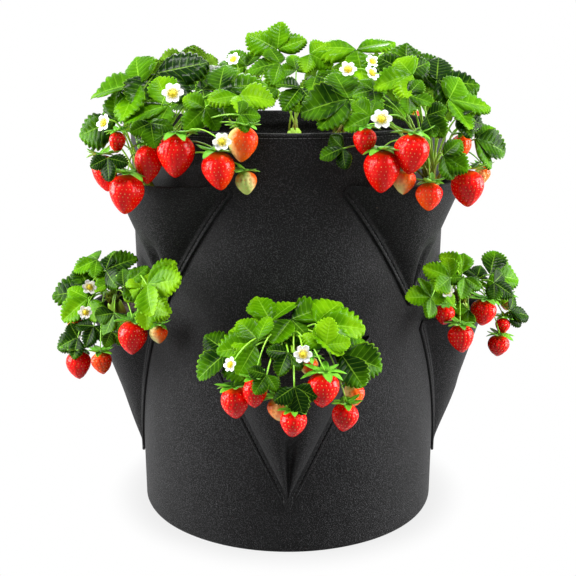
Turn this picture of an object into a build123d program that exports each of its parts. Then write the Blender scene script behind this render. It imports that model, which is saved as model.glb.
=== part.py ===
from build123d import *
import math
import os
from typing import NamedTuple

# Strawberry planter: a felt bag with sewn-on pockets, filled with soil and planted.
# Millimetres. Origin at the centre of the base's underside, +Z up, -Y towards the viewer.

# Felt bag
FELT = 2.5
BASE_RADIUS = 175.0
RIM_RADIUS = 179.0
RIM_HEM = 20.0
BASE_SEAM_HEIGHT = 12.0
SEAM_GAP = 0.1

# Heights of the pocket rows, stacked from the floor to the rim
LOWER_TIP_HEIGHT = 52.0
LOWER_POCKET_DEPTH = 188.0
ROW_GAP = 22.0
UPPER_POCKET_DEPTH = 136.0
RIM_BAND = 52.0

# Pocket panels
LOWER_HALF_WIDTH = 86.0
LOWER_REACH = 57.0
UPPER_HALF_WIDTH = 84.0
UPPER_REACH = 46.0
FLANGE = 8.0
FLANGE_CORNER_WIDTH = 6.0
FLANGE_CORNER_HEIGHT = 9.0
TIP_MARGIN = 13.0
POCKET_HEM = 12.0
WINDOW_MARGIN = 16.0

# Soil
SOIL_GAP = 0.3
SOIL_DROP = 35.0
POCKET_SOIL_DROP = 16.0

# Root plugs and crowns
LOWER_SETBACK = 28.5
UPPER_SETBACK = 23.0
PLUG_COVER = 8.0
PLUG_LENGTH = 46.0
PLUG_TAPER = 5.0
TOP_PLUG_RADIUS = 24.0
TOP_PLUG_LENGTH = 70.0
LIFT_TILT = 12.0
CROWN_RADIUS = 10.0
CROWN_HEIGHT = 18.0

# Foliage
STEM_WIDTH = 2.6
STALK_WIDTH = 2.2
STEM_BOW = 0.14
LOW_LEAF_HANG = 0.7
FLOWER_BOW = 0.24
STALK_ARCH = 22.0
STALK_HANG = 0.45
LEAF_THICKNESS = 1.0
LEAFLET_ASPECT = 0.76
SIDE_LEAFLET = 0.9
LEAF_JOINT = 3.5

# Fruit and flowers
FRUIT_GAP = 0.4
CALYX_SHARE = 0.3
CALYX_HEIGHT = 3.0
PETAL_THICKNESS = 1.0
FLOWER_EYE_HEIGHT = 2.4
PETALS = 6

LOWER_MOUTH_HEIGHT = LOWER_TIP_HEIGHT + LOWER_POCKET_DEPTH
UPPER_TIP_HEIGHT = LOWER_MOUTH_HEIGHT + ROW_GAP
UPPER_MOUTH_HEIGHT = UPPER_TIP_HEIGHT + UPPER_POCKET_DEPTH
BAG_HEIGHT = UPPER_MOUTH_HEIGHT + RIM_BAND
SOIL_HEIGHT = BAG_HEIGHT - SOIL_DROP
UP = Vector(0, 0, 1)
GOLDEN_ANGLE = math.pi * (3 - math.sqrt(5))
FROM_BELOW = (Align.CENTER, Align.CENTER, Align.MIN)


class PocketRow(NamedTuple):
    """One height of pockets: mouth and tip heights, half width and reach of the mouth."""
    mouth: float
    tip: float
    half_width: float
    reach: float
    setback: float

    @property
    def bulge_tip(self):
        """Height where the panel starts to stand off the wall."""
        return self.tip + TIP_MARGIN

    @property
    def plug_radius(self):
        """Radius of a root plug that leaves soil between itself and the felt."""
        return min(self.setback, self.reach - self.setback) - PLUG_COVER


class Leaf(NamedTuple):
    """A three-part leaf. Its joint lies right of, in front of and above the crown.

    turn is the middle leaflet's clock angle in the front view, face how far the upper
    side leans from straight up towards the viewer, bank how far it leans to the right,
    and sides the clock angles from the middle leaflet to the other two.
    """
    right: float
    forward: float
    up: float
    turn: float
    face: float
    size: float
    bank: float = 0.0
    sides: tuple = (-72, 72)


class Berry(NamedTuple):
    """A hanging berry, placed by its middle, with its width and length."""
    right: float
    forward: float
    up: float
    width: float
    length: float


class Flower(NamedTuple):
    """An open flower, placed by its middle, with its lean and its width."""
    right: float
    forward: float
    up: float
    face: float
    bank: float
    width: float


class Plant(NamedTuple):
    """Everything that grows from one crown."""
    leaves: tuple
    berries: tuple
    flowers: tuple


LOWER = PocketRow(LOWER_MOUTH_HEIGHT, LOWER_TIP_HEIGHT, LOWER_HALF_WIDTH, LOWER_REACH, LOWER_SETBACK)
UPPER = PocketRow(UPPER_MOUTH_HEIGHT, UPPER_TIP_HEIGHT, UPPER_HALF_WIDTH, UPPER_REACH, UPPER_SETBACK)

# Azimuth of each pocket, counted from the front towards the right
POCKETS = {
    "lower_front": (LOWER, 0),
    "lower_right": (LOWER, 85),
    "lower_back": (LOWER, 180),
    "lower_left": (LOWER, -85),
    "upper_front_left": (UPPER, -47),
    "upper_front_right": (UPPER, 47),
    "upper_back_right": (UPPER, 133),
    "upper_back_left": (UPPER, -133),
}

UPPER_LEFT_PLANT = Plant(
    leaves=(
        Leaf(1, 10, 97, 275, 40, 56, -12),
        Leaf(14, -5, 107, 72, 42, 58, 0, (60, 130)),
        Leaf(80, 25, 92, 70, 45, 52, 8, (-65, 45)),
        Leaf(-25, 15, 62, 260, 55, 47, -22, (95, 150)),
        Leaf(32, 35, 78, 258, 45, 46, -5, (-60, 80)),
        Leaf(68, 48, 76, 225, 60, 30, 0, (-75, 75)),
        Leaf(100, 48, 88, 85, 40, 38, 12, (80, 160)),
        Leaf(17, 60, 63, 170, 65, 26),
        Leaf(102, 72, 72, 80, 50, 22, 10),
        Leaf(-25, 62, 30, 175, 70, 24, -15),
        Leaf(62, 2, 92, 100, 25, 45),
        Leaf(-20, -15, 74, 300, 15, 40, -25),
        Leaf(-40, -24, 44, 280, 10, 28, -35),
    ),
    berries=(
        Berry(-34, 42, 13, 25, 36),
        Berry(-8, 52, -6, 33, 39),
        Berry(12, 40, 22, 28, 38),
        Berry(42, 59, 32, 35, 42),
        Berry(79, 64, 18, 33, 37),
        Berry(106, 68, 44, 28, 34),
        Berry(106, 60, 6, 20, 23),
        Berry(-18, 39, 43, 16, 21),
    ),
    flowers=(
        Flower(39, 62, 91, 68, 0, 21),
        Flower(-26, 66, 64, 62, -35, 18),
        Flower(86, 84, 48, 74, 0, 18),
    ),
)

UPPER_RIGHT_PLANT = Plant(
    leaves=(
        Leaf(-88, 34, 84, 266, 45, 52, -8, (-40, 75)),
        Leaf(-69, 54, 69, 245, 55, 29, -10, (72, 130)),
        Leaf(-32, 15, 109, 5, 55, 38, 0, (-62, 55)),
        Leaf(-18, -12, 111, 60, 45, 38, 12),
        Leaf(-28, 36, 107, 262, 40, 40, -5, (-70, 75)),
        Leaf(0, 8, 101, 80, 35, 50, 12, (-72, 68)),
        Leaf(8, 38, 84, 85, 42, 48, 12, (-60, 65)),
        Leaf(15, 50, 68, 92, 52, 31, 15, (-60, 60)),
        Leaf(36, 36, 46, 96, 52, 40, 25, (-45, 42)),
        Leaf(-34, 56, 89, 110, 50, 28),
        Leaf(-17, 66, 70, 140, 60, 27, 5, (-72, 20)),
        Leaf(-2, 78, 34, 120, 70, 29, 5, (-72, 35)),
        Leaf(-95, 58, 39, 250, 58, 25, -12),
        Leaf(-64, 24, 92, 250, 35, 26),
        Leaf(38, -10, 62, 80, 10, 36, 35),
    ),
    berries=(
        Berry(-58, 68, 18, 34, 41),
        Berry(-29, 72, 35, 33, 38),
        Berry(-11, 60, -7, 25, 27),
        Berry(27, 44, -2, 32, 37),
        Berry(-35, 57, 7, 22, 24),
        Berry(-74, 62, 46, 23, 26),
        Berry(22, 42, 39, 20, 24),
        Berry(47, 18, 9, 15, 17),
    ),
    flowers=(
        Flower(-60, 74, 68, 70, 0, 20),
        Flower(-89, 22, 112, 55, 0, 18),
        Flower(-67, 32, 109, 50, 35, 17),
    ),
)

FRONT_PLANT = Plant(
    leaves=(
        Leaf(-29, 28, 17, 320, 50, 32, -10, (-60, 60)),
        Leaf(-17, 8, 30, 272, 35, 46, -10, (65, 125)),
        Leaf(3, 8, 32, 62, 42, 42, 0, (75, 150)),
        Leaf(27, 16, 30, 88, 38, 54, 10, (-50, 62)),
        Leaf(36, 42, 16, 10, 62, 29, 8),
        Leaf(45, 22, 8, 70, 48, 30, 18, (-70, 60)),
        Leaf(51, 36, 5, 100, 45, 46, 20, (-50, 45)),
        Leaf(-58, 26, 4, 236, 45, 40, -20, (75, -80)),
        Leaf(-31, 32, 13, 268, 42, 42, -12, (-60, 75)),
        Leaf(0, 48, 11, 205, 55, 25),
        Leaf(6, 70, -16, 165, 65, 28, 0, (-50, 72)),
        Leaf(-8, 10, 15, 240, 30, 28),
        Leaf(-20, 64, -6, 215, 68, 22),
    ),
    berries=(
        Berry(-52, 42, -42, 28, 33),
        Berry(-31, 56, -27, 22, 30),
        Berry(-10, 48, -46, 22, 24),
        Berry(6, 68, -53, 25, 28),
        Berry(34, 60, -22, 30, 34),
        Berry(64, 26, -40, 20, 24),
        Berry(56, 48, -54, 25, 28),
        Berry(20, 42, -5, 18, 20),
    ),
    flowers=(
        Flower(14, 62, 14, 70, 0, 18),
        Flower(-54, 54, 1, 60, -35, 15),
    ),
)

LEFT_PLANT = Plant(
    leaves=(
        Leaf(4, 66, 52, 72, 40, 38, -22, (-66, 80)),
        Leaf(-12, 30, 56, 255, 25, 31, -25),
        Leaf(-16, 50, 26, 268, 45, 50, -15, (60, -50)),
        Leaf(-18, 62, 19, 230, 50, 39, -15),
        Leaf(64, 161, 60, 100, 48, 44, -28, (-45, 70)),
        Leaf(62, 153, 38, 125, 52, 34, -28, (-70, 60)),
        Leaf(56, 155, 54, 330, 42, 28, -20),
        Leaf(9, 56, 36, 320, 35, 29, -10),
        Leaf(16, 92, 10, 205, 62, 30, -12, (-60, 60)),
        Leaf(-29, 74, -23, 250, 55, 30, -20, (-60, 75)),
        Leaf(-9, 83, -7, 205, 62, 26, -10),
        Leaf(14, 102, -8, 130, 60, 22, -10),
        Leaf(36, 142, 52, 60, 38, 34, -22),
        Leaf(-8, 2, 30, 320, 0, 32, -30),
    ),
    berries=(
        Berry(41, 122, -8, 32, 36),
        Berry(68, 128, -3, 19, 21),
        Berry(-31, 70, -55, 28, 33),
        Berry(1, 102, -43, 22, 25),
        Berry(-36, 48, -15, 17, 19),
    ),
    flowers=(
        Flower(-14, 70, 34, 56, 15, 17),
        Flower(-17, 84, 9, 56, 10, 16),
    ),
)

RIGHT_PLANT = Plant(
    leaves=(
        Leaf(-38, 136, 61, 285, 45, 31, 18, (70, -60)),
        Leaf(-12, 60, 49, 315, 50, 33, 10, (55, -70)),
        Leaf(22, 48, 43, 85, 45, 43, 15, (-70, 65)),
        Leaf(22, 70, 39, 115, 45, 28, 18),
        Leaf(-59, 151, 43, 262, 52, 29, 25),
        Leaf(-42, 114, 42, 215, 50, 23, 22),
        Leaf(44, 58, 4, 95, 55, 28, 25, (-70, 40)),
        Leaf(-13, 80, 47, 190, 50, 27, 12),
        Leaf(-8, 88, 13, 190, 55, 23, 12, (40, 85)),
        Leaf(11, 30, 36, 20, 35, 24, 20),
        Leaf(10, 2, 30, 40, 0, 32, 30),
    ),
    berries=(
        Berry(-36, 106, 12, 21, 22),
        Berry(-23, 122, -9, 26, 30),
        Berry(12, 78, 7, 27, 30),
        Berry(38, 56, -14, 17, 19),
        Berry(32, 66, -35, 23, 25),
        Berry(44, 40, 8, 16, 18),
    ),
    flowers=(
        Flower(-39, 128, 44, 60, -5, 15),
    ),
)

TOP_LEFT_PLANT = Plant(
    leaves=(
        Leaf(43, 10, 113, 300, 62, 43, 0, (65, 130)),
        Leaf(6, 0, 94, 325, 58, 33, -8),
        Leaf(46, 34, 98, 265, 38, 40),
        Leaf(-30, -10, 80, 280, 30, 44, -15),
        Leaf(-10, -30, 86, 330, 45, 32, -8),
        Leaf(-22, 42, 60, 240, 42, 38, -12),
        Leaf(10, 58, 70, 190, 48, 32),
        Leaf(-50, 14, 60, 270, 25, 38, -22),
    ),
    berries=(),
    flowers=(Flower(-8, 20, 102, 50, -20, 18),),
)

TOP_RIGHT_PLANT = Plant(
    leaves=(
        Leaf(19, 15, 113, 280, 52, 54, 0, (145, -110)),
        Leaf(-35, 18, 108, 120, 48, 31),
        Leaf(54, -20, 110, 40, 52, 27, 8),
        Leaf(-46, 62, 72, 215, 52, 35),
        Leaf(-28, 42, 84, 120, 32, 37),
        Leaf(34, -34, 88, 45, 30, 38, 12),
        Leaf(24, 52, 66, 150, 45, 35, 8),
        Leaf(60, 16, 78, 80, 28, 40, 18),
        Leaf(46, 44, 54, 110, 35, 34, 18),
    ),
    berries=(),
    flowers=(Flower(36, 34, 100, 50, 15, 18),),
)

TOP_BACK_PLANT = Plant(
    leaves=(
        Leaf(-22, 4, 66, 290, 40, 28, -10),
        Leaf(24, 2, 68, 70, 40, 28, 10),
        Leaf(2, 8, 88, 350, 50, 28),
        Leaf(-2, -14, 54, 10, 15, 24),
        Leaf(2, 26, 60, 180, 45, 26),
    ),
    berries=(),
    flowers=(),
)

# Plants that the front view shows, each with the pocket that it stands in
SEEN_PLANTS = {
    "lower_front": FRONT_PLANT,
    "lower_right": RIGHT_PLANT,
    "lower_left": LEFT_PLANT,
    "upper_front_left": UPPER_LEFT_PLANT,
    "upper_front_right": UPPER_RIGHT_PLANT,
}

# Pockets at the back hold the plant of the pocket across the bag, turned half round
BACK_PLANTS = {
    "lower_back": "lower_front",
    "upper_back_right": "upper_front_left",
    "upper_back_left": "upper_front_right",
}

# Plants in the bag's own mouth, by the place of their crown
TOP_PLANTS = {
    "top_left": (TOP_LEFT_PLANT, -55, 45),
    "top_right": (TOP_RIGHT_PLANT, 60, 40),
    "top_back": (TOP_BACK_PLANT, 8, 96),
}


def wall_radius(height):
    """Outside radius of the tapered wall at a height."""
    return BASE_RADIUS + (RIM_RADIUS - BASE_RADIUS) * height / BAG_HEIGHT


def wall_cone(outset, low=0.0, high=BAG_HEIGHT):
    """Solid cone that lies outset from the wall's outer face."""
    cone = Cone(wall_radius(low) + outset, wall_radius(high) + outset, high - low, align=FROM_BELOW)
    return Pos(0, 0, low) * cone


def turned(shape, azimuth):
    """The shape turned from the front to an azimuth."""
    return Rot(0, 0, azimuth) * shape


def outward(azimuth):
    """Level direction away from the bag's axis."""
    angle = math.radians(azimuth)
    return Vector(math.sin(angle), -math.cos(angle), 0)


def revolved(*points):
    """Solid of revolution about the bag's axis from radius and height pairs."""
    return revolve(make_face(Plane.XZ * Polyline(*points, close=True)), Axis.Z)


# Felt pieces

def felt_wall():
    """Tapered wall with a hem folded inwards at the rim and a window behind each pocket."""
    hem_low = BAG_HEIGHT - RIM_HEM
    fold = ThreePointArc(
        (RIM_RADIUS, BAG_HEIGHT - FELT),
        (RIM_RADIUS - FELT, BAG_HEIGHT),
        (RIM_RADIUS - 2 * FELT, BAG_HEIGHT - FELT),
    )
    rest = Polyline(
        (RIM_RADIUS - 2 * FELT, BAG_HEIGHT - FELT),
        (wall_radius(hem_low) - 2 * FELT, hem_low),
        (wall_radius(hem_low) - FELT, hem_low),
        (BASE_RADIUS - FELT, 0),
        (BASE_RADIUS, 0),
        (RIM_RADIUS, BAG_HEIGHT - FELT),
    )
    wall = revolve(make_face(Plane.XZ * Curve([fold, rest])), Axis.Z)
    windows = [turned(vee_prism(row, -WINDOW_MARGIN), azimuth) for row, azimuth in POCKETS.values()]
    return wall - windows


def felt_base():
    """Round base with its seam allowance turned up inside the wall."""
    edge = BASE_RADIUS - FELT - SEAM_GAP
    edge_top = wall_radius(BASE_SEAM_HEIGHT) - FELT - SEAM_GAP
    return revolved(
        (0, 0), (edge, 0), (edge_top, BASE_SEAM_HEIGHT), (edge_top - FELT, BASE_SEAM_HEIGHT),
        (edge - FELT, FELT), (0, FELT),
    )


def vee_prism(row, margin):
    """V-shaped block from the bag's axis outwards, margin wider all round than the pocket's seam."""
    apex_angle = math.atan2(row.half_width, row.mouth - row.bulge_tip)
    widen = margin / math.cos(apex_angle)
    half_top = row.half_width + widen
    tip = max(row.tip, row.bulge_tip - margin / math.sin(apex_angle))
    half_tip = max(widen + (tip - row.bulge_tip) * math.tan(apex_angle), FELT)
    top = row.mouth + min(margin, 0)
    half_shoulder = half_top - (row.mouth - top + FLANGE_CORNER_HEIGHT) * math.tan(apex_angle)
    outline = Polyline(
        (-half_tip, tip), (half_tip, tip), (half_shoulder, top - FLANGE_CORNER_HEIGHT),
        (half_shoulder - FLANGE_CORNER_WIDTH, top), (FLANGE_CORNER_WIDTH - half_shoulder, top),
        (-half_shoulder, top - FLANGE_CORNER_HEIGHT), close=True,
    )
    return extrude(make_face(Plane.XZ * outline), 2 * RIM_RADIUS)


def bulge_section(row, share, inset):
    """Level section of a pocket's hollow, at a share of the way from its tip to its mouth."""
    height = row.bulge_tip + share * (row.mouth - row.bulge_tip)
    half = share * row.half_width - inset
    radius = wall_radius(height)
    reach = FELT + share * (row.reach - FELT) - inset
    seam = math.sqrt(radius ** 2 - half ** 2)
    arc = ThreePointArc((-half, -seam), (0, -radius - reach), (half, -seam))
    chord = Line((half, -seam), (-half, -seam))
    return Pos(0, 0, height) * make_face([arc, chord])


def bulge(row, low, high, inset):
    """Space under a pocket's panel between two shares of its depth, inset from the outer face."""
    return loft([bulge_section(row, low, inset), bulge_section(row, high, inset)], ruled=True)


def pocket_panel(row):
    """Pocket at the front: flat sewn flange, bulged panel and a mouth hem folded inwards."""
    lowest = 2 * FELT / row.half_width
    hem_share = 1 - POCKET_HEM / (row.mouth - row.bulge_tip)
    flange = wall_cone(FELT + SEAM_GAP) & vee_prism(row, FLANGE)
    skin = flange + bulge(row, lowest, 1, 0)
    hollow = bulge(row, 2 * lowest, hem_share, FELT) + bulge(row, hem_share, 1, 2 * FELT)
    return skin - hollow - wall_cone(SEAM_GAP)


# Soil

def plug_axis(azimuth):
    """Direction in which a pocket's plant lifts out, between the wall and the panel."""
    tilt = math.radians(LIFT_TILT)
    return outward(azimuth) * math.sin(tilt) + UP * math.cos(tilt)


def crown_point(row, azimuth):
    """Middle of a pocket's mouth, where the plant's crown stands."""
    distance = wall_radius(row.mouth) + row.reach - row.setback
    return outward(azimuth) * distance + UP * row.mouth


def plug_top(row, azimuth):
    """Centre of the upper end of a pocket's root plug, level with the pocket's soil."""
    return crown_point(row, azimuth) - plug_axis(azimuth) * POCKET_SOIL_DROP


def plug(top, axis, radius, length, gap=0.0):
    """Tapered root plug below top, or with a gap the hole for it, open upwards."""
    slope = PLUG_TAPER / length
    start = top - axis * (length + gap)
    extra = length + gap if gap else 0.0
    cone = Cone(
        radius - PLUG_TAPER + gap, radius + gap + slope * extra, length + gap + extra, align=FROM_BELOW
    )
    return Plane(origin=start, z_dir=axis) * cone


def pocket_soil(row):
    """Soil in a pocket at the front, with a neck through the wall's window and a plug hole."""
    lowest = 4 * FELT / row.half_width
    depth = row.mouth - row.bulge_tip
    top_share = 1 - POCKET_SOIL_DROP / depth
    filled = bulge(row, lowest, top_share, FELT + SOIL_GAP)
    lobe = filled - wall_cone(FELT + SEAM_GAP + SOIL_GAP)
    core = wall_cone(-FELT - SOIL_GAP)
    neck = (filled & vee_prism(row, -WINDOW_MARGIN - SOIL_GAP)) - core
    hole = plug(plug_top(row, 0), plug_axis(0), row.plug_radius, PLUG_LENGTH, SOIL_GAP)
    return lobe + neck - hole


def potting_soil():
    """Soil that fills the bag, with a hole for each plant in the bag's mouth."""
    low = FELT + SOIL_GAP
    inner = FELT + 2 * SOIL_GAP
    step = BASE_SEAM_HEIGHT + SOIL_GAP
    core = revolved(
        (0, low),
        (wall_radius(low) - inner - FELT, low),
        (wall_radius(step) - inner - FELT, step),
        (wall_radius(step) - inner, step),
        (wall_radius(SOIL_HEIGHT) - inner, SOIL_HEIGHT),
        (0, SOIL_HEIGHT),
    )
    holes = [
        plug(Vector(x, y, SOIL_HEIGHT), UP, TOP_PLUG_RADIUS, TOP_PLUG_LENGTH, SOIL_GAP)
        for _, x, y in TOP_PLANTS.values()
    ]
    return core - holes


# Plants

def place(crown, row):
    """Point of a table row in the bag's frame, for a plant seen from the front."""
    return crown + Vector(row.right, -row.forward, row.up)


def facing(face, bank):
    """Directions across, up and out of a leaf or flower that leans towards the viewer."""
    lean, roll = math.radians(face), math.radians(bank)
    out = Vector(math.sin(roll), -math.sin(lean) * math.cos(roll), math.cos(lean) * math.cos(roll))
    upwards = Vector(0, math.cos(lean), math.sin(lean))
    return upwards.cross(out), upwards, out


def leaflet(length):
    """Flat outline of one leaflet, broadest past its middle, along +X from the leaf's joint."""
    stations = (0.16, 0.4, 0.66, 0.87)
    half = 0.5 * LEAFLET_ASPECT * length
    edge = [(u * length, half * math.sin(math.pi * u ** 0.85) ** 0.7) for u in stations]
    other = [(x, -y) for x, y in reversed(edge)]
    return make_face(Polyline((0, 0), *edge, (length, 0), *other, close=True))


def blade(leaf, joint):
    """Thin plate of a leaf's three leaflets."""
    across, upwards, out = facing(leaf.face, leaf.bank)
    turn = math.radians(leaf.turn)
    midrib = across * math.sin(turn) + upwards * math.cos(turn)
    outline = RegularPolygon(LEAF_JOINT, 6) + leaflet(leaf.size)
    for side in leaf.sides:
        outline += Rot(0, 0, -side) * leaflet(SIDE_LEAFLET * leaf.size)
    return Plane(origin=joint, x_dir=midrib, z_dir=out) * extrude(outline, LEAF_THICKNESS)


def stem(start, end, bow, width):
    """Square stem in the upright plane through its ends, bowed upwards along a parabola."""
    level = Vector(end.X - start.X, end.Y - start.Y, 0)
    shares = (0, 0.2, 0.4, 0.6, 0.8, 1)
    line = [
        (s * level.length, s * (end.Z - start.Z) + 4 * bow * s * (1 - s)) for s in shares
    ]
    above, below = [], []
    for before, (x, y), after in zip([line[0], *line], line, [*line[1:], line[-1]]):
        run, rise = after[0] - before[0], after[1] - before[1]
        reach = 0.5 * width / math.hypot(run, rise)
        above.append((x - rise * reach, y + run * reach))
        below.insert(0, (x + rise * reach, y - run * reach))
    outline = make_face(Polyline(*above, *below, close=True))
    upright = Plane(origin=start, x_dir=level, z_dir=level.cross(UP))
    return upright * extrude(outline, 0.5 * width, both=True)


def berry(row, crown, gap=0.0):
    """Plump hanging berry, round at the shoulder and narrowing to its tip, or its clear space."""
    half, length = 0.5 * row.width + gap, row.length + 2 * gap
    shares = (0.04, 0.14, 0.3, 0.48, 0.68, 0.85, 0.96)
    flank = [(half * math.sin(math.pi * s ** 0.72) ** 0.66, -s * length) for s in shares]
    body = revolved((0, 0), *flank, (0, -length))
    return Pos(place(crown, row) + UP * 0.5 * length) * body


def calyx(row, crown):
    """Green cap on a berry's shoulder, which its stalk carries."""
    top = place(crown, row) + UP * (0.5 * row.length + FRUIT_GAP)
    cap = Cone(CALYX_SHARE * row.width, 0.5 * STALK_WIDTH, CALYX_HEIGHT, align=FROM_BELOW)
    return Pos(top) * cap


def flower(row, crown, gap=0.0):
    """Open flower: rounded petals on one disc and a raised eye, or its clear space."""
    across, _, out = facing(row.face, row.bank)
    petal = 0.27 * row.width
    disc = Circle(petal + gap)
    for k in range(PETALS):
        disc += Rot(0, 0, 360 * k / PETALS) * Pos(0.5 * row.width - petal, 0) * Circle(petal + gap)
    eye = Cylinder(0.2 * row.width + gap, FLOWER_EYE_HEIGHT + gap, align=FROM_BELOW)
    head = extrude(disc, PETAL_THICKNESS + gap) + eye
    return Plane(origin=place(crown, row), x_dir=across, z_dir=out) * head


def crown_rings(seat, axis, count):
    """Start points of the stems, spread over the crown's top like seeds on a flower head."""
    top = Plane(origin=seat + axis * (CROWN_HEIGHT - STEM_WIDTH), z_dir=axis)
    spread = CROWN_RADIUS - STEM_WIDTH
    for k in range(count):
        radius = spread * math.sqrt((k + 0.5) / count)
        yield top.from_local_coords(
            Vector(radius * math.cos(k * GOLDEN_ANGLE), radius * math.sin(k * GOLDEN_ANGLE), 0)
        )


def foliage(plant, crown, seat, axis):
    """Crown, leaves, stalks and calyxes of a plant in one piece, clear of its fruit and flowers."""
    pieces = []
    starts = crown_rings(seat, axis, len(plant.leaves) + len(plant.berries) + len(plant.flowers))
    for leaf in plant.leaves:
        joint, start = place(crown, leaf), next(starts)
        pieces.append(blade(leaf, joint))
        bow = STEM_BOW * (joint - start).length + LOW_LEAF_HANG * max(0, start.Z - joint.Z)
        pieces.append(stem(start, joint, bow, STEM_WIDTH))
    for row in plant.berries:
        start = next(starts)
        end = place(crown, row) + UP * (0.5 * row.length + FRUIT_GAP + 0.5 * CALYX_HEIGHT)
        arch = STALK_ARCH + STALK_HANG * max(0, start.Z - end.Z)
        pieces.append(stem(start, end, arch, STALK_WIDTH))
        pieces.append(calyx(row, crown))
    for row in plant.flowers:
        start = next(starts)
        end = place(crown, row) - facing(row.face, row.bank)[2] * FRUIT_GAP
        pieces.append(stem(start, end, FLOWER_BOW * (end - start).length, STALK_WIDTH))
    stub = Plane(origin=seat, z_dir=axis) * extrude(RegularPolygon(CROWN_RADIUS, 8), CROWN_HEIGHT)
    whole = stub.fuse(*pieces)
    clear = [berry(row, crown, FRUIT_GAP) for row in plant.berries]
    clear += [flower(row, crown, FRUIT_GAP) for row in plant.flowers]
    trimmed = whole.cut(*clear) if clear else whole
    return max(trimmed.solids(), key=lambda solid: solid.volume)


def plant_pieces(plant, crown, seat, axis, radius, length):
    """The separate pieces of one plant, by the last part of their node's name."""
    pieces = {
        "root_plug": plug(seat, axis, radius, length),
        "leaves": foliage(plant, crown, seat, axis),
    }
    if plant.berries:
        pieces["berries"] = Compound([berry(row, crown) for row in plant.berries])
    if plant.flowers:
        pieces["flowers"] = Compound([flower(row, crown) for row in plant.flowers])
    return pieces


def all_plants():
    """Every plant's pieces, by the pocket or place that it stands in."""
    plants = {}
    for pocket, plant in SEEN_PLANTS.items():
        row, azimuth = POCKETS[pocket]
        seat, axis = plug_top(row, azimuth), plug_axis(azimuth)
        crown = crown_point(row, azimuth)
        plants[pocket] = plant_pieces(plant, crown, seat, axis, row.plug_radius, PLUG_LENGTH)
    for pocket, twin in BACK_PLANTS.items():
        plants[pocket] = {piece: turned(shape, 180) for piece, shape in plants[twin].items()}
    for name, (plant, x, y) in TOP_PLANTS.items():
        seat = Vector(x, y, SOIL_HEIGHT)
        plants[name] = plant_pieces(plant, seat, seat, UP, TOP_PLUG_RADIUS, TOP_PLUG_LENGTH)
    return plants


def assembly():
    """Every node's shape by its name."""
    panels = {row: pocket_panel(row) for row in (LOWER, UPPER)}
    lobes = {row: pocket_soil(row) for row in (LOWER, UPPER)}
    nodes = {
        "felt_wall": felt_wall(),
        "felt_base": felt_base(),
        "potting_soil": potting_soil(),
        "pocket_soil": Compound([turned(lobes[row], azimuth) for row, azimuth in POCKETS.values()]),
    }
    for pocket, (row, azimuth) in POCKETS.items():
        nodes[f"pocket_{pocket}"] = turned(panels[row], azimuth)
    for place_name, pieces in all_plants().items():
        for piece, shape in pieces.items():
            nodes[f"{place_name}_{piece}"] = shape
    return nodes


os.makedirs("parts", exist_ok=True)
for node, shape in assembly().items():
    export_step(shape, f"parts/{node}.step", write_pcurves=False)
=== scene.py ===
"""Strawberry planter: a felt bag with sewn-on pockets, its soil and its fruiting plants.

Tables and formulas are in millimetres, in the frame of the model: +Z up, -Y towards the viewer.
Meshes are written in metres.
"""

from __future__ import annotations

import logging
import math
from dataclasses import dataclass
from enum import Enum
from typing import Any, NamedTuple

import bpy
import numpy as np
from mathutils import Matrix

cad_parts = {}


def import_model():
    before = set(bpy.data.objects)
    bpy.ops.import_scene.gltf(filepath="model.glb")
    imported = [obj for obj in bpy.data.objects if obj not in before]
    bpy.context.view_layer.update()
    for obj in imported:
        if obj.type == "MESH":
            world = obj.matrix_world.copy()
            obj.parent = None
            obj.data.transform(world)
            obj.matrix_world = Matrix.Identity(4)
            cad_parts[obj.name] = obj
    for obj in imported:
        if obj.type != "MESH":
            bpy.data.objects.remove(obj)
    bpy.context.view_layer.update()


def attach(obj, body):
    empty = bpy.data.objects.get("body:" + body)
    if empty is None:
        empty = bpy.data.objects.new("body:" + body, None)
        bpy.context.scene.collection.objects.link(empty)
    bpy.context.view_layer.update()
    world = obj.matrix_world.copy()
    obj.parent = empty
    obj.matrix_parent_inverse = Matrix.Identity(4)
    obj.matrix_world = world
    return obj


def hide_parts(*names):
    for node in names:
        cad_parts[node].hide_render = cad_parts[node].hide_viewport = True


LOG = logging.getLogger("planter")
MM = 0.001
UP = np.array([0.0, 0.0, 1.0])
GOLDEN_ANGLE = math.pi * (3 - math.sqrt(5))
LIFT_TILT = math.radians(12.0)
PLUG_TAPER = 5.0
TOP_PLUG = (24.0, 70.0)
SEED_GAP = 4.7
SEED_ROW_GAP = 4.0
Colour = tuple[float, float, float]
Place = tuple[float, float, float]


# Tables of the plants


class Leaf(NamedTuple):
    """A three-part leaf: its joint from the crown, clock angle, lean, bank, size and side angles."""

    right: float
    forward: float
    up: float
    turn: float
    face: float
    size: float
    bank: float = 0.0
    sides: tuple[float, float] = (-72, 72)


class Berry(NamedTuple):
    """A hanging berry by its middle, with its width, length and ripeness from 0, green, to 1, red."""

    right: float
    forward: float
    up: float
    width: float
    length: float
    ripe: float = 1.0


class Flower(NamedTuple):
    """An open flower by its middle, with its lean, its bank and its width."""

    right: float
    forward: float
    up: float
    face: float
    bank: float
    width: float


class Growth(NamedTuple):
    """Everything that grows from one crown."""

    leaves: tuple[Leaf, ...]
    berries: tuple[Berry, ...] = ()
    flowers: tuple[Flower, ...] = ()


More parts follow.
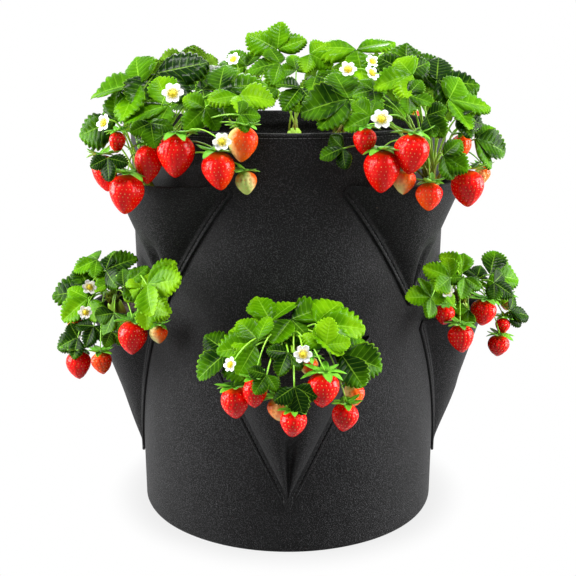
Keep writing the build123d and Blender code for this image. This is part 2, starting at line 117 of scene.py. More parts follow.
UPPER_LEFT_GROWTH = Growth(
    leaves=(
        Leaf(1, 10, 97, 275, 40, 56, -12),
        Leaf(14, -5, 107, 72, 42, 58, 0, (60, 130)),
        Leaf(80, 25, 92, 70, 45, 52, 8, (-65, 45)),
        Leaf(-25, 15, 62, 260, 55, 47, -22, (95, 150)),
        Leaf(32, 35, 78, 258, 45, 46, -5, (-60, 80)),
        Leaf(68, 48, 76, 225, 60, 30, 0, (-75, 75)),
        Leaf(100, 48, 88, 85, 40, 38, 12, (80, 160)),
        Leaf(17, 60, 63, 170, 65, 26),
        Leaf(102, 72, 72, 80, 50, 22, 10),
        Leaf(-25, 62, 30, 175, 70, 24, -15),
        Leaf(62, 2, 92, 100, 25, 45),
        Leaf(-20, -15, 74, 300, 15, 40, -25),
        Leaf(-40, -24, 44, 280, 10, 28, -35),
    ),
    berries=(
        Berry(-34, 42, 13, 25, 36, 0.85),
        Berry(-8, 52, -6, 33, 39),
        Berry(12, 40, 22, 28, 38),
        Berry(42, 59, 32, 35, 42),
        Berry(79, 64, 18, 33, 37, 0.85),
        Berry(106, 68, 44, 28, 34, 0.45),
        Berry(106, 60, 6, 20, 23, 0.1),
        Berry(-18, 39, 43, 16, 21),
    ),
    flowers=(
        Flower(39, 62, 91, 68, 0, 21),
        Flower(-26, 66, 64, 62, -35, 18),
        Flower(86, 84, 48, 74, 0, 18),
    ),
)

UPPER_RIGHT_GROWTH = Growth(
    leaves=(
        Leaf(-88, 34, 84, 266, 45, 52, -8, (-40, 75)),
        Leaf(-69, 54, 69, 245, 55, 29, -10, (72, 130)),
        Leaf(-32, 15, 109, 5, 55, 38, 0, (-62, 55)),
        Leaf(-18, -12, 111, 60, 45, 38, 12),
        Leaf(-28, 36, 107, 262, 40, 40, -5, (-70, 75)),
        Leaf(0, 8, 101, 80, 35, 50, 12, (-72, 68)),
        Leaf(8, 38, 84, 85, 42, 48, 12, (-60, 65)),
        Leaf(15, 50, 68, 92, 52, 31, 15, (-60, 60)),
        Leaf(36, 36, 46, 96, 52, 40, 25, (-45, 42)),
        Leaf(-34, 56, 89, 110, 50, 28),
        Leaf(-17, 66, 70, 140, 60, 27, 5, (-72, 20)),
        Leaf(-2, 78, 34, 120, 70, 29, 5, (-72, 35)),
        Leaf(-95, 58, 39, 250, 58, 25, -12),
        Leaf(-64, 24, 92, 250, 35, 26),
        Leaf(38, -10, 62, 80, 10, 36, 35),
    ),
    berries=(
        Berry(-58, 68, 18, 34, 41),
        Berry(-29, 72, 35, 33, 38),
        Berry(-11, 60, -7, 25, 27, 0.85),
        Berry(27, 44, -2, 32, 37),
        Berry(-35, 57, 7, 22, 24, 0.55),
        Berry(-74, 62, 46, 23, 26),
        Berry(22, 42, 39, 20, 24, 0.85),
        Berry(47, 18, 9, 15, 17, 0.15),
    ),
    flowers=(
        Flower(-60, 74, 68, 70, 0, 20),
        Flower(-89, 22, 112, 55, 0, 18),
        Flower(-67, 32, 109, 50, 35, 17),
    ),
)

FRONT_GROWTH = Growth(
    leaves=(
        Leaf(-29, 28, 17, 320, 50, 32, -10, (-60, 60)),
        Leaf(-17, 8, 30, 272, 35, 46, -10, (65, 125)),
        Leaf(3, 8, 32, 62, 42, 42, 0, (75, 150)),
        Leaf(27, 16, 30, 88, 38, 54, 10, (-50, 62)),
        Leaf(36, 42, 16, 10, 62, 29, 8),
        Leaf(45, 22, 8, 70, 48, 30, 18, (-70, 60)),
        Leaf(51, 36, 5, 100, 45, 46, 20, (-50, 45)),
        Leaf(-58, 26, 4, 236, 45, 40, -20, (75, -80)),
        Leaf(-31, 32, 13, 268, 42, 42, -12, (-60, 75)),
        Leaf(0, 48, 11, 205, 55, 25),
        Leaf(6, 70, -16, 165, 65, 28, 0, (-50, 72)),
        Leaf(-8, 10, 17, 240, 30, 28),
        Leaf(-20, 64, -6, 215, 68, 22),
    ),
    berries=(
        Berry(-52, 42, -42, 28, 33, 0.95),
        Berry(-31, 56, -27, 22, 30),
        Berry(-10, 48, -46, 22, 24, 0.6),
        Berry(6, 68, -53, 25, 28),
        Berry(34, 60, -22, 30, 34),
        Berry(64, 26, -40, 20, 24, 0.55),
        Berry(56, 48, -54, 25, 28),
        Berry(20, 42, -5, 18, 20, 0.15),
    ),
    flowers=(
        Flower(14, 62, 14, 70, 0, 18),
        Flower(-54, 54, 1, 60, -35, 15),
    ),
)

LEFT_GROWTH = Growth(
    leaves=(
        Leaf(4, 66, 52, 72, 40, 38, -22, (-66, 80)),
        Leaf(-12, 30, 56, 255, 25, 31, -25),
        Leaf(-16, 50, 26, 268, 45, 50, -15, (60, -50)),
        Leaf(-18, 62, 19, 230, 50, 39, -15),
        Leaf(64, 166, 60, 100, 48, 44, -28, (-45, 70)),
        Leaf(62, 153, 38, 125, 52, 34, -28, (-70, 60)),
        Leaf(56, 155, 54, 330, 42, 28, -20),
        Leaf(9, 56, 36, 320, 35, 29, -10),
        Leaf(16, 92, 10, 205, 62, 30, -12, (-60, 60)),
        Leaf(-29, 74, -23, 250, 55, 30, -20, (-60, 75)),
        Leaf(-9, 83, -7, 205, 62, 26, -10),
        Leaf(14, 102, -8, 130, 60, 22, -10),
        Leaf(36, 142, 52, 60, 38, 34, -22),
        Leaf(-8, 2, 30, 320, 0, 32, -30),
    ),
    berries=(
        Berry(41, 122, -8, 32, 36),
        Berry(68, 128, -3, 19, 21, 0.35),
        Berry(-31, 70, -55, 28, 33),
        Berry(1, 102, -43, 22, 25, 0.85),
        Berry(-36, 48, -15, 17, 19, 0.5),
    ),
    flowers=(
        Flower(-14, 70, 34, 56, 15, 17),
        Flower(-17, 84, 9, 56, 10, 16),
    ),
)

RIGHT_GROWTH = Growth(
    leaves=(
        Leaf(-38, 140, 61, 285, 45, 31, 18, (70, -60)),
        Leaf(-12, 60, 49, 315, 50, 33, 10, (55, -70)),
        Leaf(22, 48, 43, 85, 45, 43, 15, (-70, 65)),
        Leaf(22, 70, 39, 115, 45, 28, 18),
        Leaf(-59, 151, 43, 262, 52, 29, 25),
        Leaf(-42, 119, 42, 215, 50, 23, 22),
        Leaf(44, 58, 4, 95, 55, 28, 25, (-70, 40)),
        Leaf(-13, 80, 47, 190, 50, 27, 12),
        Leaf(-8, 88, 13, 190, 55, 23, 12, (40, 85)),
        Leaf(11, 30, 36, 20, 35, 24, 20),
        Leaf(10, 2, 30, 40, 0, 32, 30),
    ),
    berries=(
        Berry(-36, 106, 12, 21, 22),
        Berry(-23, 122, -9, 26, 30),
        Berry(12, 78, 7, 27, 30, 0.85),
        Berry(38, 56, -14, 17, 19),
        Berry(32, 66, -35, 23, 25),
        Berry(44, 40, 8, 16, 18, 0.35),
    ),
    flowers=(Flower(-39, 128, 44, 60, -5, 15),),
)

TOP_LEFT_GROWTH = Growth(
    leaves=(
        Leaf(43, 10, 113, 300, 62, 43, 0, (65, 130)),
        Leaf(6, 0, 94, 325, 58, 33, -8),
        Leaf(46, 34, 98, 265, 38, 40),
        Leaf(-30, -10, 80, 280, 30, 44, -15),
        Leaf(-10, -30, 86, 330, 45, 32, -8),
        Leaf(-22, 42, 60, 240, 42, 38, -12),
        Leaf(10, 58, 70, 190, 48, 32),
        Leaf(-50, 14, 60, 270, 25, 38, -22),
    ),
    flowers=(Flower(-8, 20, 102, 50, -20, 18),),
)

TOP_RIGHT_GROWTH = Growth(
    leaves=(
        Leaf(19, 15, 113, 280, 52, 54, 0, (145, -110)),
        Leaf(-35, 18, 108, 120, 48, 31),
        Leaf(54, -20, 110, 40, 52, 27, 8),
        Leaf(-46, 62, 72, 215, 52, 35),
        Leaf(-28, 42, 84, 120, 32, 37),
        Leaf(34, -34, 88, 45, 30, 38, 12),
        Leaf(24, 52, 66, 150, 45, 35, 8),
        Leaf(60, 16, 78, 80, 28, 40, 18),
        Leaf(46, 44, 54, 110, 35, 34, 18),
    ),
    flowers=(Flower(36, 34, 100, 50, 15, 18),),
)

TOP_BACK_GROWTH = Growth(
    leaves=(
        Leaf(-22, 4, 66, 290, 40, 28, -10),
        Leaf(24, 2, 68, 70, 40, 28, 10),
        Leaf(2, 8, 88, 350, 50, 28),
        Leaf(-2, -14, 54, 10, 15, 24),
        Leaf(2, 26, 60, 180, 45, 26),
    ),
)

FRONT_PLANTS = {
    "upper_front_left": UPPER_LEFT_GROWTH,
    "upper_front_right": UPPER_RIGHT_GROWTH,
    "lower_front": FRONT_GROWTH,
    "lower_left": LEFT_GROWTH,
    "lower_right": RIGHT_GROWTH,
}

BACK_PLANTS = {
    "lower_back": FRONT_GROWTH,
    "upper_back_right": UPPER_LEFT_GROWTH,
    "upper_back_left": UPPER_RIGHT_GROWTH,
}

TOP_PLACES = {
    "top_left": (TOP_LEFT_GROWTH, -55.0, 45.0),
    "top_right": (TOP_RIGHT_GROWTH, 60.0, 40.0),
    "top_back": (TOP_BACK_GROWTH, 8.0, 96.0),
}


# Arrays and meshes


def unit(vectors: np.ndarray) -> np.ndarray:
    """Vectors of length one along the last axis."""
    return vectors / np.linalg.norm(vectors, axis=-1, keepdims=True)


def turned(points: np.ndarray, azimuth: float) -> np.ndarray:
    """Turns points about the bag's axis.

    Args:
        points: Points along the last axis.
        azimuth: Angle in degrees, anticlockwise as seen from above.

    Returns:
        The turned points.
    """
    angle = math.radians(azimuth)
    c, s = math.cos(angle), math.sin(angle)
    return points @ np.array([[c, s, 0], [-s, c, 0], [0, 0, 1]])


def ease(values: np.ndarray, low: float, high: float) -> np.ndarray:
    """Smooth step 3t^2 - 2t^3 from 0 at low to 1 at high."""
    t = np.clip((values - low) / (high - low), 0, 1)
    return t * t * (3 - 2 * t)


def bell(values: np.ndarray, middle: float | np.ndarray, width: float) -> np.ndarray:
    """Bell curve exp(-((v - middle) / width)^2)."""
    return np.exp(-(((values - middle) / width) ** 2))


def circle(count: int) -> np.ndarray:
    """Angles of points spread evenly round a circle."""
    return 2 * math.pi * np.arange(count) / count


def spiral(count: int) -> tuple[np.ndarray, np.ndarray]:
    """Radii up to 1 and angles of points spread evenly over a disc by the golden angle."""
    k = np.arange(count)
    return np.sqrt((k + 0.5) / count), k * GOLDEN_ANGLE


def around(angle: np.ndarray, first: np.ndarray, second: np.ndarray) -> np.ndarray:
    """Directions at angles from a first direction towards a second that is square to it."""
    return np.cos(angle) * first + np.sin(angle) * second


def columns(rows: tuple[Any, ...], *names: str) -> list[np.ndarray]:
    """Columns of a table, each as an array of numbers."""
    return [np.array([getattr(row, name) for row in rows], float) for name in names]


def ripple(points: np.ndarray, wavelength: float, seed: int, waves: int = 7) -> np.ndarray:
    """Smooth lumps: the mean of sine waves that cross the points in random directions.

    Args:
        points: Points along the last axis, in millimetres.
        wavelength: Mean length of a wave.
        seed: Seed of the random directions and phases.
        waves: How many waves are added up.

    Returns:
        A value of about -1 to 1 for each point.
    """
    rng = np.random.default_rng(seed)
    directions = unit(rng.normal(size=(waves, 3))) * rng.uniform(0.7, 1.6, (waves, 1))
    phase = rng.uniform(0, 2 * math.pi, waves)
    return np.sin(points @ directions.T * (2 * math.pi / wavelength) + phase).sum(-1) / math.sqrt(waves)


def grid_faces(rows: int, cols: int, around_rows: bool = False, around_cols: bool = False) -> np.ndarray:
    """Quads of a grid of points.

    Args:
        rows: Rows of points.
        cols: Points in each row.
        around_rows: Whether the last row joins the first.
        around_cols: Whether each row's last point joins its first.

    Returns:
        Numbers of points, shaped faces, 4.
    """
    r = np.arange(rows if around_rows else rows - 1)[:, None]
    c = np.arange(cols if around_cols else cols - 1)[None, :]
    r2, c2 = (r + 1) % rows, (c + 1) % cols
    return np.stack([r * cols + c, r * cols + c2, r2 * cols + c2, r2 * cols + c], -1).reshape(-1, 4)


def repeated(faces: np.ndarray, copies: int, stride: int) -> np.ndarray:
    """The same faces for copies of a shape whose points follow each other."""
    shift = np.arange(copies)[:, None, None] * stride
    return (faces[None] + shift).reshape(-1, faces.shape[1])


@dataclass
class Surface:
    """A mesh in the making: points in millimetres, face arrays and values for each point."""

    points: np.ndarray
    faces: list[np.ndarray]
    values: dict[str, np.ndarray]

    @staticmethod
    def joined(parts: list[Surface]) -> Surface:
        """Joins surfaces.

        Args:
            parts: Surfaces that hold the same values.

        Returns:
            One surface of them all.
        """
        starts = np.cumsum([0] + [len(part.points) for part in parts])
        faces = [face + start for part, start in zip(parts, starts) for face in part.faces]
        names = parts[0].values
        values = {name: np.concatenate([part.values[name] for part in parts]) for name in names}
        return Surface(np.concatenate([part.points for part in parts]), faces, values)

    def turned(self, azimuth: float) -> Surface:
        """The surface turned about the bag's axis."""
        return Surface(turned(self.points, azimuth), self.faces, self.values)

    def piece(self, name: str, material: bpy.types.Material) -> bpy.types.Object:
        """Writes the surface into a smooth mesh object at the origin.

        Args:
            name: The piece's name.
            material: Its finish.

        Returns:
            The new object.
        """
        mesh = bpy.data.meshes.new(name)
        loops = np.concatenate([face.ravel() for face in self.faces])
        counts = np.concatenate([np.full(len(face), face.shape[1]) for face in self.faces])
        mesh.vertices.add(len(self.points))
        mesh.vertices.foreach_set("co", (self.points * MM).astype(np.float32).ravel())
        mesh.loops.add(len(loops))
        mesh.loops.foreach_set("vertex_index", loops.astype(np.int32))
        mesh.polygons.add(len(counts))
        mesh.polygons.foreach_set("loop_start", (np.cumsum(counts) - counts).astype(np.int32))
        mesh.polygons.foreach_set("use_smooth", np.ones(len(counts), dtype=bool))
        for value_name, values in self.values.items():
            kind, key = ("FLOAT", "value") if values.ndim == 1 else ("FLOAT_VECTOR", "vector")
            layer = mesh.attributes.new(value_name, kind, "POINT")
            layer.data.foreach_set(key, values.astype(np.float32).ravel())
        mesh.update(calc_edges=True)
        mesh.materials.append(material)
        piece = bpy.data.objects.new(name, mesh)
        bpy.context.scene.collection.objects.link(piece)
        return piece


def closed_sheets(upper: np.ndarray, under: np.ndarray, values: dict[str, np.ndarray]) -> Surface:
    """Thin closed sheets, each with an upper and an under layer that meet along its border.

    Args:
        upper: Points of the upper layers, shaped sheets, rows, columns, 3.
        under: Points of the under layers, shaped alike. Their borders aren't used.
        values: Values at the upper layers' points, shaped sheets, rows, columns and more.

    Returns:
        The sheets, with one more value, under, that is 1 inside the under layers.
    """
    count, rows, cols = upper.shape[:3]
    top = grid_faces(rows, cols)
    lower = np.arange(rows * cols).reshape(rows, cols)
    lower[1:-1, 1:-1] = rows * cols + np.arange((rows - 2) * (cols - 2)).reshape(rows - 2, cols - 2)
    faces = np.vstack([top, lower.ravel()[top][:, ::-1]])
    stride = rows * cols + (rows - 2) * (cols - 2)

    def layered(a: np.ndarray, b: np.ndarray) -> np.ndarray:
        """Lays arrays of both layers down, one sheet after the other.

        Args:
            a: Values at the upper layers' points.
            b: Values at the under layers' points, of which the inner ones are taken.

        Returns:
            A row for each point of the closed sheets.
        """
        rest = a.shape[3:]
        whole = [a.reshape(count, -1, *rest), b[:, 1:-1, 1:-1].reshape(count, -1, *rest)]
        return np.concatenate(whole, axis=1).reshape(-1, *rest)

    kept = {name: layered(value, value) for name, value in values.items()}
    kept["under"] = layered(np.zeros(upper.shape[:3]), np.ones(upper.shape[:3]))
    return Surface(layered(upper, under), [repeated(faces, count, stride)], kept)


def capped_rings(
    rings: np.ndarray, start: np.ndarray, end: np.ndarray, values: dict[str, np.ndarray] | None = None
) -> Surface:
    """Closed bodies made of rings of points, with a pole at each end.

    Args:
        rings: Points shaped bodies, rings, sides, 3, each ring anticlockwise as seen from its end.
        start: The first poles, shaped bodies, 3.
        end: The last poles, shaped alike.
        values: Values shaped bodies, rings, sides. A pole takes its ring's mean.

    Returns:
        The bodies as one surface.
    """
    count, rows, sides = rings.shape[:3]
    quads = grid_faces(rows, sides, around_cols=True)
    c = np.arange(sides)
    first, last = rows * sides, rows * sides + 1
    after = (c + 1) % sides
    fan = np.stack([np.full(sides, first), after, c], -1)
    cap = np.stack([np.full(sides, last), (rows - 1) * sides + c, (rows - 1) * sides + after], -1)
    stride = rows * sides + 2
    points = np.concatenate([rings.reshape(count, -1, 3), start[:, None], end[:, None]], axis=1)
    kept = {}
    for name, value in (values or {}).items():
        ends = [value[:, :1].mean(2), value[:, -1:].mean(2)]
        kept[name] = np.concatenate([value.reshape(count, -1), *ends], axis=1).ravel()
    faces = [repeated(quads, count, stride), repeated(np.vstack([fan, cap]), count, stride)]
    return Surface(points.reshape(-1, 3), faces, kept)


def tubes(paths: np.ndarray, radii: np.ndarray, sideways: np.ndarray, sides: int = 7) -> Surface:
    """Round tubes: a circle in the plane of sideways and tangent x sideways, carried along each path.

    Args:
        paths: Points shaped tubes, stations, 3.
        radii: Radii shaped tubes, stations.
        sideways: A direction across each path, shaped tubes, 3.
        sides: Points in each circle.

    Returns:
        The closed tubes, with a value along that runs from 0 to 1 on each.
    """
    tangent = unit(np.gradient(paths, axis=1))
    across = unit(sideways[:, None] - (sideways[:, None] * tangent).sum(-1, keepdims=True) * tangent)
    second = np.cross(tangent, across)
    ring = around(circle(sides)[:, None], across[:, :, None], second[:, :, None])
    rings = paths[:, :, None] + radii[:, :, None, None] * ring
    along = np.broadcast_to(np.linspace(0, 1, paths.shape[1])[None, :, None], rings.shape[:3])
    return capped_rings(rings, paths[:, 0], paths[:, -1], {"along": along})


# Shader expressions


class Wire:
    """An output socket that can stand in a Python expression."""

    def __init__(self, shader: Shader, socket: bpy.types.NodeSocket) -> None:
        """Keeps the shader that the socket belongs to."""
        self.shader = shader
        self.socket = socket

    def __add__(self, other: Wire | float) -> Wire:
        """Sum."""
        return self.shader.math("ADD", self, other)

    def __sub__(self, other: Wire | float) -> Wire:
        """Difference."""
        return self.shader.math("SUBTRACT", self, other)

    def __rsub__(self, other: float) -> Wire:
        """Difference from a number."""
        return self.shader.math("SUBTRACT", other, self)

    def __mul__(self, other: Wire | float) -> Wire:
        """Product."""
        return self.shader.math("MULTIPLY", self, other)

    __radd__ = __add__

    def size(self) -> Wire:
        """Absolute value."""
        return self.shader.math("ABSOLUTE", self)

    def part(self) -> Wire:
        """Fraction that is left after the whole number."""
        return self.shader.math("FRACT", self)

    def step(self, low: float, high: float) -> Wire:
        """Smooth step from 0 at low to 1 at high."""
        settings = {"interpolation_type": "SMOOTHSTEP"}
        return self.shader.node("ShaderNodeMapRange", settings, {"Value": self, 1: low, 2: high})


class Shader:
    """The node tree of a material or the world, written as expressions."""

    def __init__(self, owner: bpy.types.Material | bpy.types.World) -> None:
        """Empties the owner's tree.

        Args:
            owner: The material or the world.
        """
        owner.use_nodes = True
        self.owner = owner
        self.tree = owner.node_tree
        self.tree.nodes.clear()

    @classmethod
    def named(cls, name: str) -> Shader:
        """Starts an empty material."""
        return cls(bpy.data.materials.new(name))

    def node(
        self, kind: str, settings: dict[str, Any], inputs: dict[int | str, Any], output: int | str = 0
    ) -> Wire:
        """Adds any node.

        Args:
            kind: The node's type.
            settings: Its properties, set first. The key stops holds a ramp's positions and colours.
            inputs: Values or wires for its sockets, by name or number.
            output: The socket that is wanted.

        Returns:
            The wanted output socket.
        """
        made = self.tree.nodes.new(kind)
        for key, value in settings.items():
            if key == "stops":
                self._fill_ramp(made.color_ramp, value)
            else:
                setattr(made, key, value)
        for key, value in inputs.items():
            if isinstance(value, Wire):
                self.tree.links.new(value.socket, made.inputs[key])
            else:
                made.inputs[key].default_value = value
        return Wire(self, made.outputs[output])

    @staticmethod
    def _fill_ramp(ramp: bpy.types.ColorRamp, stops: list[tuple[float, Colour]]) -> None:
        """Sets a ramp's stops.

        Args:
            ramp: The new ramp, which has two stops.
            stops: Positions and colours.
        """
        for index, (position, colour) in enumerate(stops):
            stop = ramp.elements[index] if index < 2 else ramp.elements.new(position)
            stop.position = position
            stop.color = (*colour, 1)

    def math(self, operation: str, first: Wire | float, second: Wire | float = 0.0) -> Wire:
        """Adds a Math node."""
        return self.node("ShaderNodeMath", {"operation": operation}, {0: first, 1: second})

    def mix(self, factor: Wire, first: Wire | Colour, second: Wire | Colour) -> Wire:
        """Blends two colours."""
        ends = [value if isinstance(value, Wire) else (*value, 1) for value in (first, second)]
        return self.node("ShaderNodeMix", {"data_type": "RGBA"}, {0: factor, 6: ends[0], 7: ends[1]}, 2)

    def ramp(self, value: Wire, stops: list[tuple[float, Colour]]) -> Wire:
        """Colours a value by a row of stops."""
        return self.node("ShaderNodeValToRGB", {"stops": stops}, {0: value})

    def place(self) -> Wire:
        """Object coordinates, in metres."""
        return self.node("ShaderNodeTexCoord", {}, {}, "Object")

    def noise(self, scale: float, detail: float = 2.0, roughness: float = 0.5) -> Wire:
        """Noise in object coordinates, in waves for each metre."""
        sockets = {"Vector": self.place(), "Scale": scale, "Detail": detail, "Roughness": roughness}
        return self.node("ShaderNodeTexNoise", {}, sockets)

    def value(self, name: str) -> Wire:
        """A value that the mesh holds for each point."""
        return self.node("ShaderNodeAttribute", {"attribute_name": name}, {}, "Fac")

    def values(self, name: str) -> tuple[Wire, Wire, Wire]:
        """The three parts of a vector that the mesh holds for each point."""
        vector = self.node("ShaderNodeAttribute", {"attribute_name": name}, {}, "Vector")
        return tuple(self.node("ShaderNodeSeparateXYZ", {}, {0: vector}, axis) for axis in "XYZ")

    def bump(self, height: Wire, depth: float, strength: float) -> Wire:
        """Normals of a height pattern, whose depth is in millimetres."""
        sockets = {"Height": height, "Distance": depth * MM, "Strength": strength}
        return self.node("ShaderNodeBump", {}, sockets)

    def finish(self, **sockets: Any) -> bpy.types.Material:
        """Ends the tree in a Principled shader.

        Args:
            sockets: Its inputs, with underscores for the spaces in their names.

        Returns:
            The material.
        """
        named = {key.replace("_", " "): value for key, value in sockets.items()}
        self.show(self.node("ShaderNodeBsdfPrincipled", {}, named))
        return self.owner

    def background_rays(self) -> Wire:
        """Finds the rays that show the background: from the camera, off a gloss or through glass.

        Returns:
            1 on those rays and 0 on all others.
        """
        names = ("Is Camera Ray", "Is Glossy Ray", "Is Transmission Ray")
        camera, gloss, glass = (self.node("ShaderNodeLightPath", {}, {}, name) for name in names)
        return self.math("MAXIMUM", self.math("MAXIMUM", camera, gloss), glass)

    def show(self, skin: Wire) -> None:
        """Links a shader to the tree's output.

        Args:
            skin: The shader.
        """
        kind = "World" if isinstance(self.owner, bpy.types.World) else "Material"
        made = self.tree.nodes.new(f"ShaderNodeOutput{kind}")
        self.tree.links.new(skin.socket, made.inputs["Surface"])


# Finishes


@dataclass(frozen=True)
class FeltFinish:
    """Charcoal needle felt: matted fibres with pale flecks over a nearly black ground, with painted shade
    along the seams.
    """

    ground: Colour = (0.0022, 0.0022, 0.0023)
    fibre: Colour = (0.0105, 0.0105, 0.0110)
    fleck: Colour = (0.058, 0.058, 0.061)
    fibres_per_metre: float = 420.0
    flecks_per_metre: float = 900.0

    def material(self) -> bpy.types.Material:
        """Builds the finish.

        Returns:
            The material.
        """
        s = Shader.named("charcoal_felt")
        fibres = s.noise(self.fibres_per_metre, 4.0, 0.7)
        cloud = s.noise(28.0, 3.0)
        specks = s.noise(self.flecks_per_metre, 1.0).step(0.5, 0.7)
        tone = s.mix((fibres * 0.75 + cloud * 0.25).step(0.32, 0.72), self.ground, self.fibre)
        # Painted shade: where the value seam is high (stitch grooves, flange edges, hem line) the felt
        # darkens towards its ground colour.
        colour = s.mix(s.value("seam") * 0.85, s.mix(specks * 0.6, tone, self.fleck), self.ground)
        normal = s.bump(fibres + specks * 0.5, 0.9, 0.6)
        return s.finish(
            Base_Color=colour, Roughness=0.42 + fibres * 0.24, Normal=normal, Sheen_Weight=0.02,
            Sheen_Roughness=0.4, Specular_IOR_Level=0.1,
        )


@dataclass(frozen=True)
class GrainFinish:
    """Two colours mixed by a noise, which also roughens the face where it has a depth."""

    name: str
    first: Colour
    second: Colour
    grains_per_metre: float
    detail: float
    roughness: float
    step: tuple[float, float] | None = None
    depth: float = 0.0
    strength: float = 0.0

    def material(self) -> bpy.types.Material:
        """Builds the finish.

        Returns:
            The material.
        """
        s = Shader.named(self.name)
        grains = s.noise(self.grains_per_metre, self.detail)
        share = grains.step(*self.step) if self.step else grains
        sockets = {"Base_Color": s.mix(share, self.first, self.second), "Roughness": self.roughness}
        if self.depth:
            sockets["Normal"] = s.bump(grains, self.depth, self.strength)
        return s.finish(**sockets)


THREAD = GrainFinish(
    "black_thread", (0.018, 0.018, 0.019), (0.055, 0.055, 0.057), 2200.0, 2.0, 0.5, depth=0.2, strength=0.4
)
ROOT = GrainFinish("roots", (0.2, 0.12, 0.06), (0.5, 0.42, 0.27), 180.0, 3.0, 0.7)
SEED = GrainFinish("berry_seed", (0.58, 0.18, 0.03), (0.80, 0.50, 0.13), 140.0, 2.0, 0.4)
EYE = GrainFinish(
    "flower_eye", (0.62, 0.58, 0.02), (0.88, 0.66, 0.012), 1300.0, 2.0, 0.65, (0.35, 0.65), 0.5, 0.6
)


@dataclass(frozen=True)
class SoilFinish:
    """Moist potting soil: dark crumbs, bark and a few pale grains."""

    wet: Colour = (0.018, 0.012, 0.008)
    dry: Colour = (0.10, 0.066, 0.042)
    grain: Colour = (0.35, 0.32, 0.27)

    def material(self) -> bpy.types.Material:
        """Builds the finish.

        Returns:
            The material.
        """
        s = Shader.named("potting_soil")
        crumbs = s.noise(260.0, 5.0, 0.65)
        grains = s.noise(700.0, 0.0).step(0.76, 0.8)
        colour = s.mix(grains, s.mix(crumbs.step(0.35, 0.75), self.wet, self.dry), self.grain)
        return s.finish(Base_Color=colour, Roughness=0.95, Normal=s.bump(crumbs, 2.0, 0.7))


@dataclass(frozen=True)
class LeafFinish:
    """Strawberry leaf: green with pale veins above, lime and matt below, with painted shade on low and
    inner leaves, towards each leaflet's base and along its pleats.
    """

    shade: Colour = (0.0036, 0.020, 0.0002)
    green: Colour = (0.058, 0.185, 0.0004)
    bright: Colour = (0.205, 0.43, 0.004)
    vein: Colour = (0.30, 0.58, 0.04)
    margin: Colour = (0.27, 0.56, 0.016)
    below: Colour = (0.25, 0.50, 0.03)
    veins: float = 8.0

    def material(self) -> bpy.types.Material:
        """Builds the finish.

        Returns:
            The material.
        """
        s = Shader.named("strawberry_leaf")
        along, aside, tone = s.values("leaf_place")
        below = s.value("under")
        out = aside.size()
        blotch = s.noise(45.0, 3.0)
        cells = s.noise(1500.0, 2.0)
        lateral = ((along * self.veins).part() - 0.5).size()
        rib = 1 - lateral.step(0.0, 0.075)
        midrib = 1 - out.step(0.01, 0.06)
        lines = s.math("MAXIMUM", rib * (0.7 - out * 0.4), midrib)
        # Painted light and shade: the tone's shade, darker towards the leaflet's base and lighter to its
        # tip, and faint stripes along the pleats; the blotches are real variation.
        level = tone + (blotch - 0.5) * 0.8 + (0.25 - lateral) * 0.08 + (along - 0.5) * 0.3
        top = s.ramp(level, [(0.14, self.shade), (0.5, self.green), (0.95, self.bright)])
        top = s.mix(lines * 0.36, top, self.vein)
        top = s.mix(out.step(0.9, 1.0) * 0.35, top, self.margin)
        under = s.mix(lines * 0.5 + blotch * 0.2, self.below, self.vein)
        colour = s.mix(below, top, under)
        gloss = 0.21 + below * 0.3 + (blotch - 0.5) * 0.16
        height = cells * 0.12 - lines * 0.4
        return s.finish(
            Base_Color=colour, Roughness=gloss, Normal=s.bump(height, 0.5, 0.4), Specular_IOR_Level=0.04
        )


@dataclass(frozen=True)
class StemFinish:
    """Lime stems, flushed with red near the crown."""

    flush: Colour = (0.24, 0.16, 0.018)
    lime: Colour = (0.32, 0.58, 0.026)
    tip: Colour = (0.23, 0.54, 0.018)

    def material(self) -> bpy.types.Material:
        """Builds the finish.

        Returns:
            The material.
        """
        s = Shader.named("lime_stem")
        along = s.value("along") + (s.noise(90.0) - 0.5) * 0.3
        colour = s.ramp(along, [(0.0, self.flush), (0.3, self.lime), (1.0, self.tip)])
        return s.finish(Base_Color=colour, Roughness=0.45, Normal=s.bump(s.noise(900.0), 0.2, 0.3))


@dataclass(frozen=True)
class CalyxFinish:
    """Green sepals, paler on the back and in patches."""

    green: Colour = (0.085, 0.34, 0.006)
    pale: Colour = (0.30, 0.60, 0.04)

    def material(self) -> bpy.types.Material:
        """Builds the finish.

        Returns:
            The material.
        """
        s = Shader.named("calyx")
        colour = s.mix(s.value("under") * 0.6 + s.noise(160.0) * 0.4, self.green, self.pale)
        return s.finish(Base_Color=colour, Roughness=0.48, Normal=s.bump(s.noise(1100.0), 0.2, 0.3))


@dataclass(frozen=True)
class BerryFinish:
    """Glossy berry flesh that ripens from green through orange to red."""

    green: Colour = (0.52, 0.64, 0.16)
    straw: Colour = (0.85, 0.72, 0.28)
    orange: Colour = (0.90, 0.15, 0.008)
    red: Colour = (0.86, 0.0045, 0.0015)
    deep: Colour = (0.58, 0.001, 0.0006)
    stops: tuple[float, ...] = (0.0, 0.28, 0.52, 0.78, 1.0)

    def material(self) -> bpy.types.Material:
        """Builds the finish.

        Returns:
            The material.
        """
        s = Shader.named("berry_flesh")
        ripe = s.value("ripe") + (s.noise(120.0, 2.0) - 0.5) * 0.16
        colours = (self.green, self.straw, self.orange, self.red, self.deep)
        colour = s.ramp(ripe, list(zip(self.stops, colours)))
        fine = s.noise(900.0, 2.0)
        return s.finish(
            Base_Color=colour, Roughness=0.14 + fine * 0.12, Normal=s.bump(fine, 0.15, 0.2),
            Specular_IOR_Level=0.18,
        )


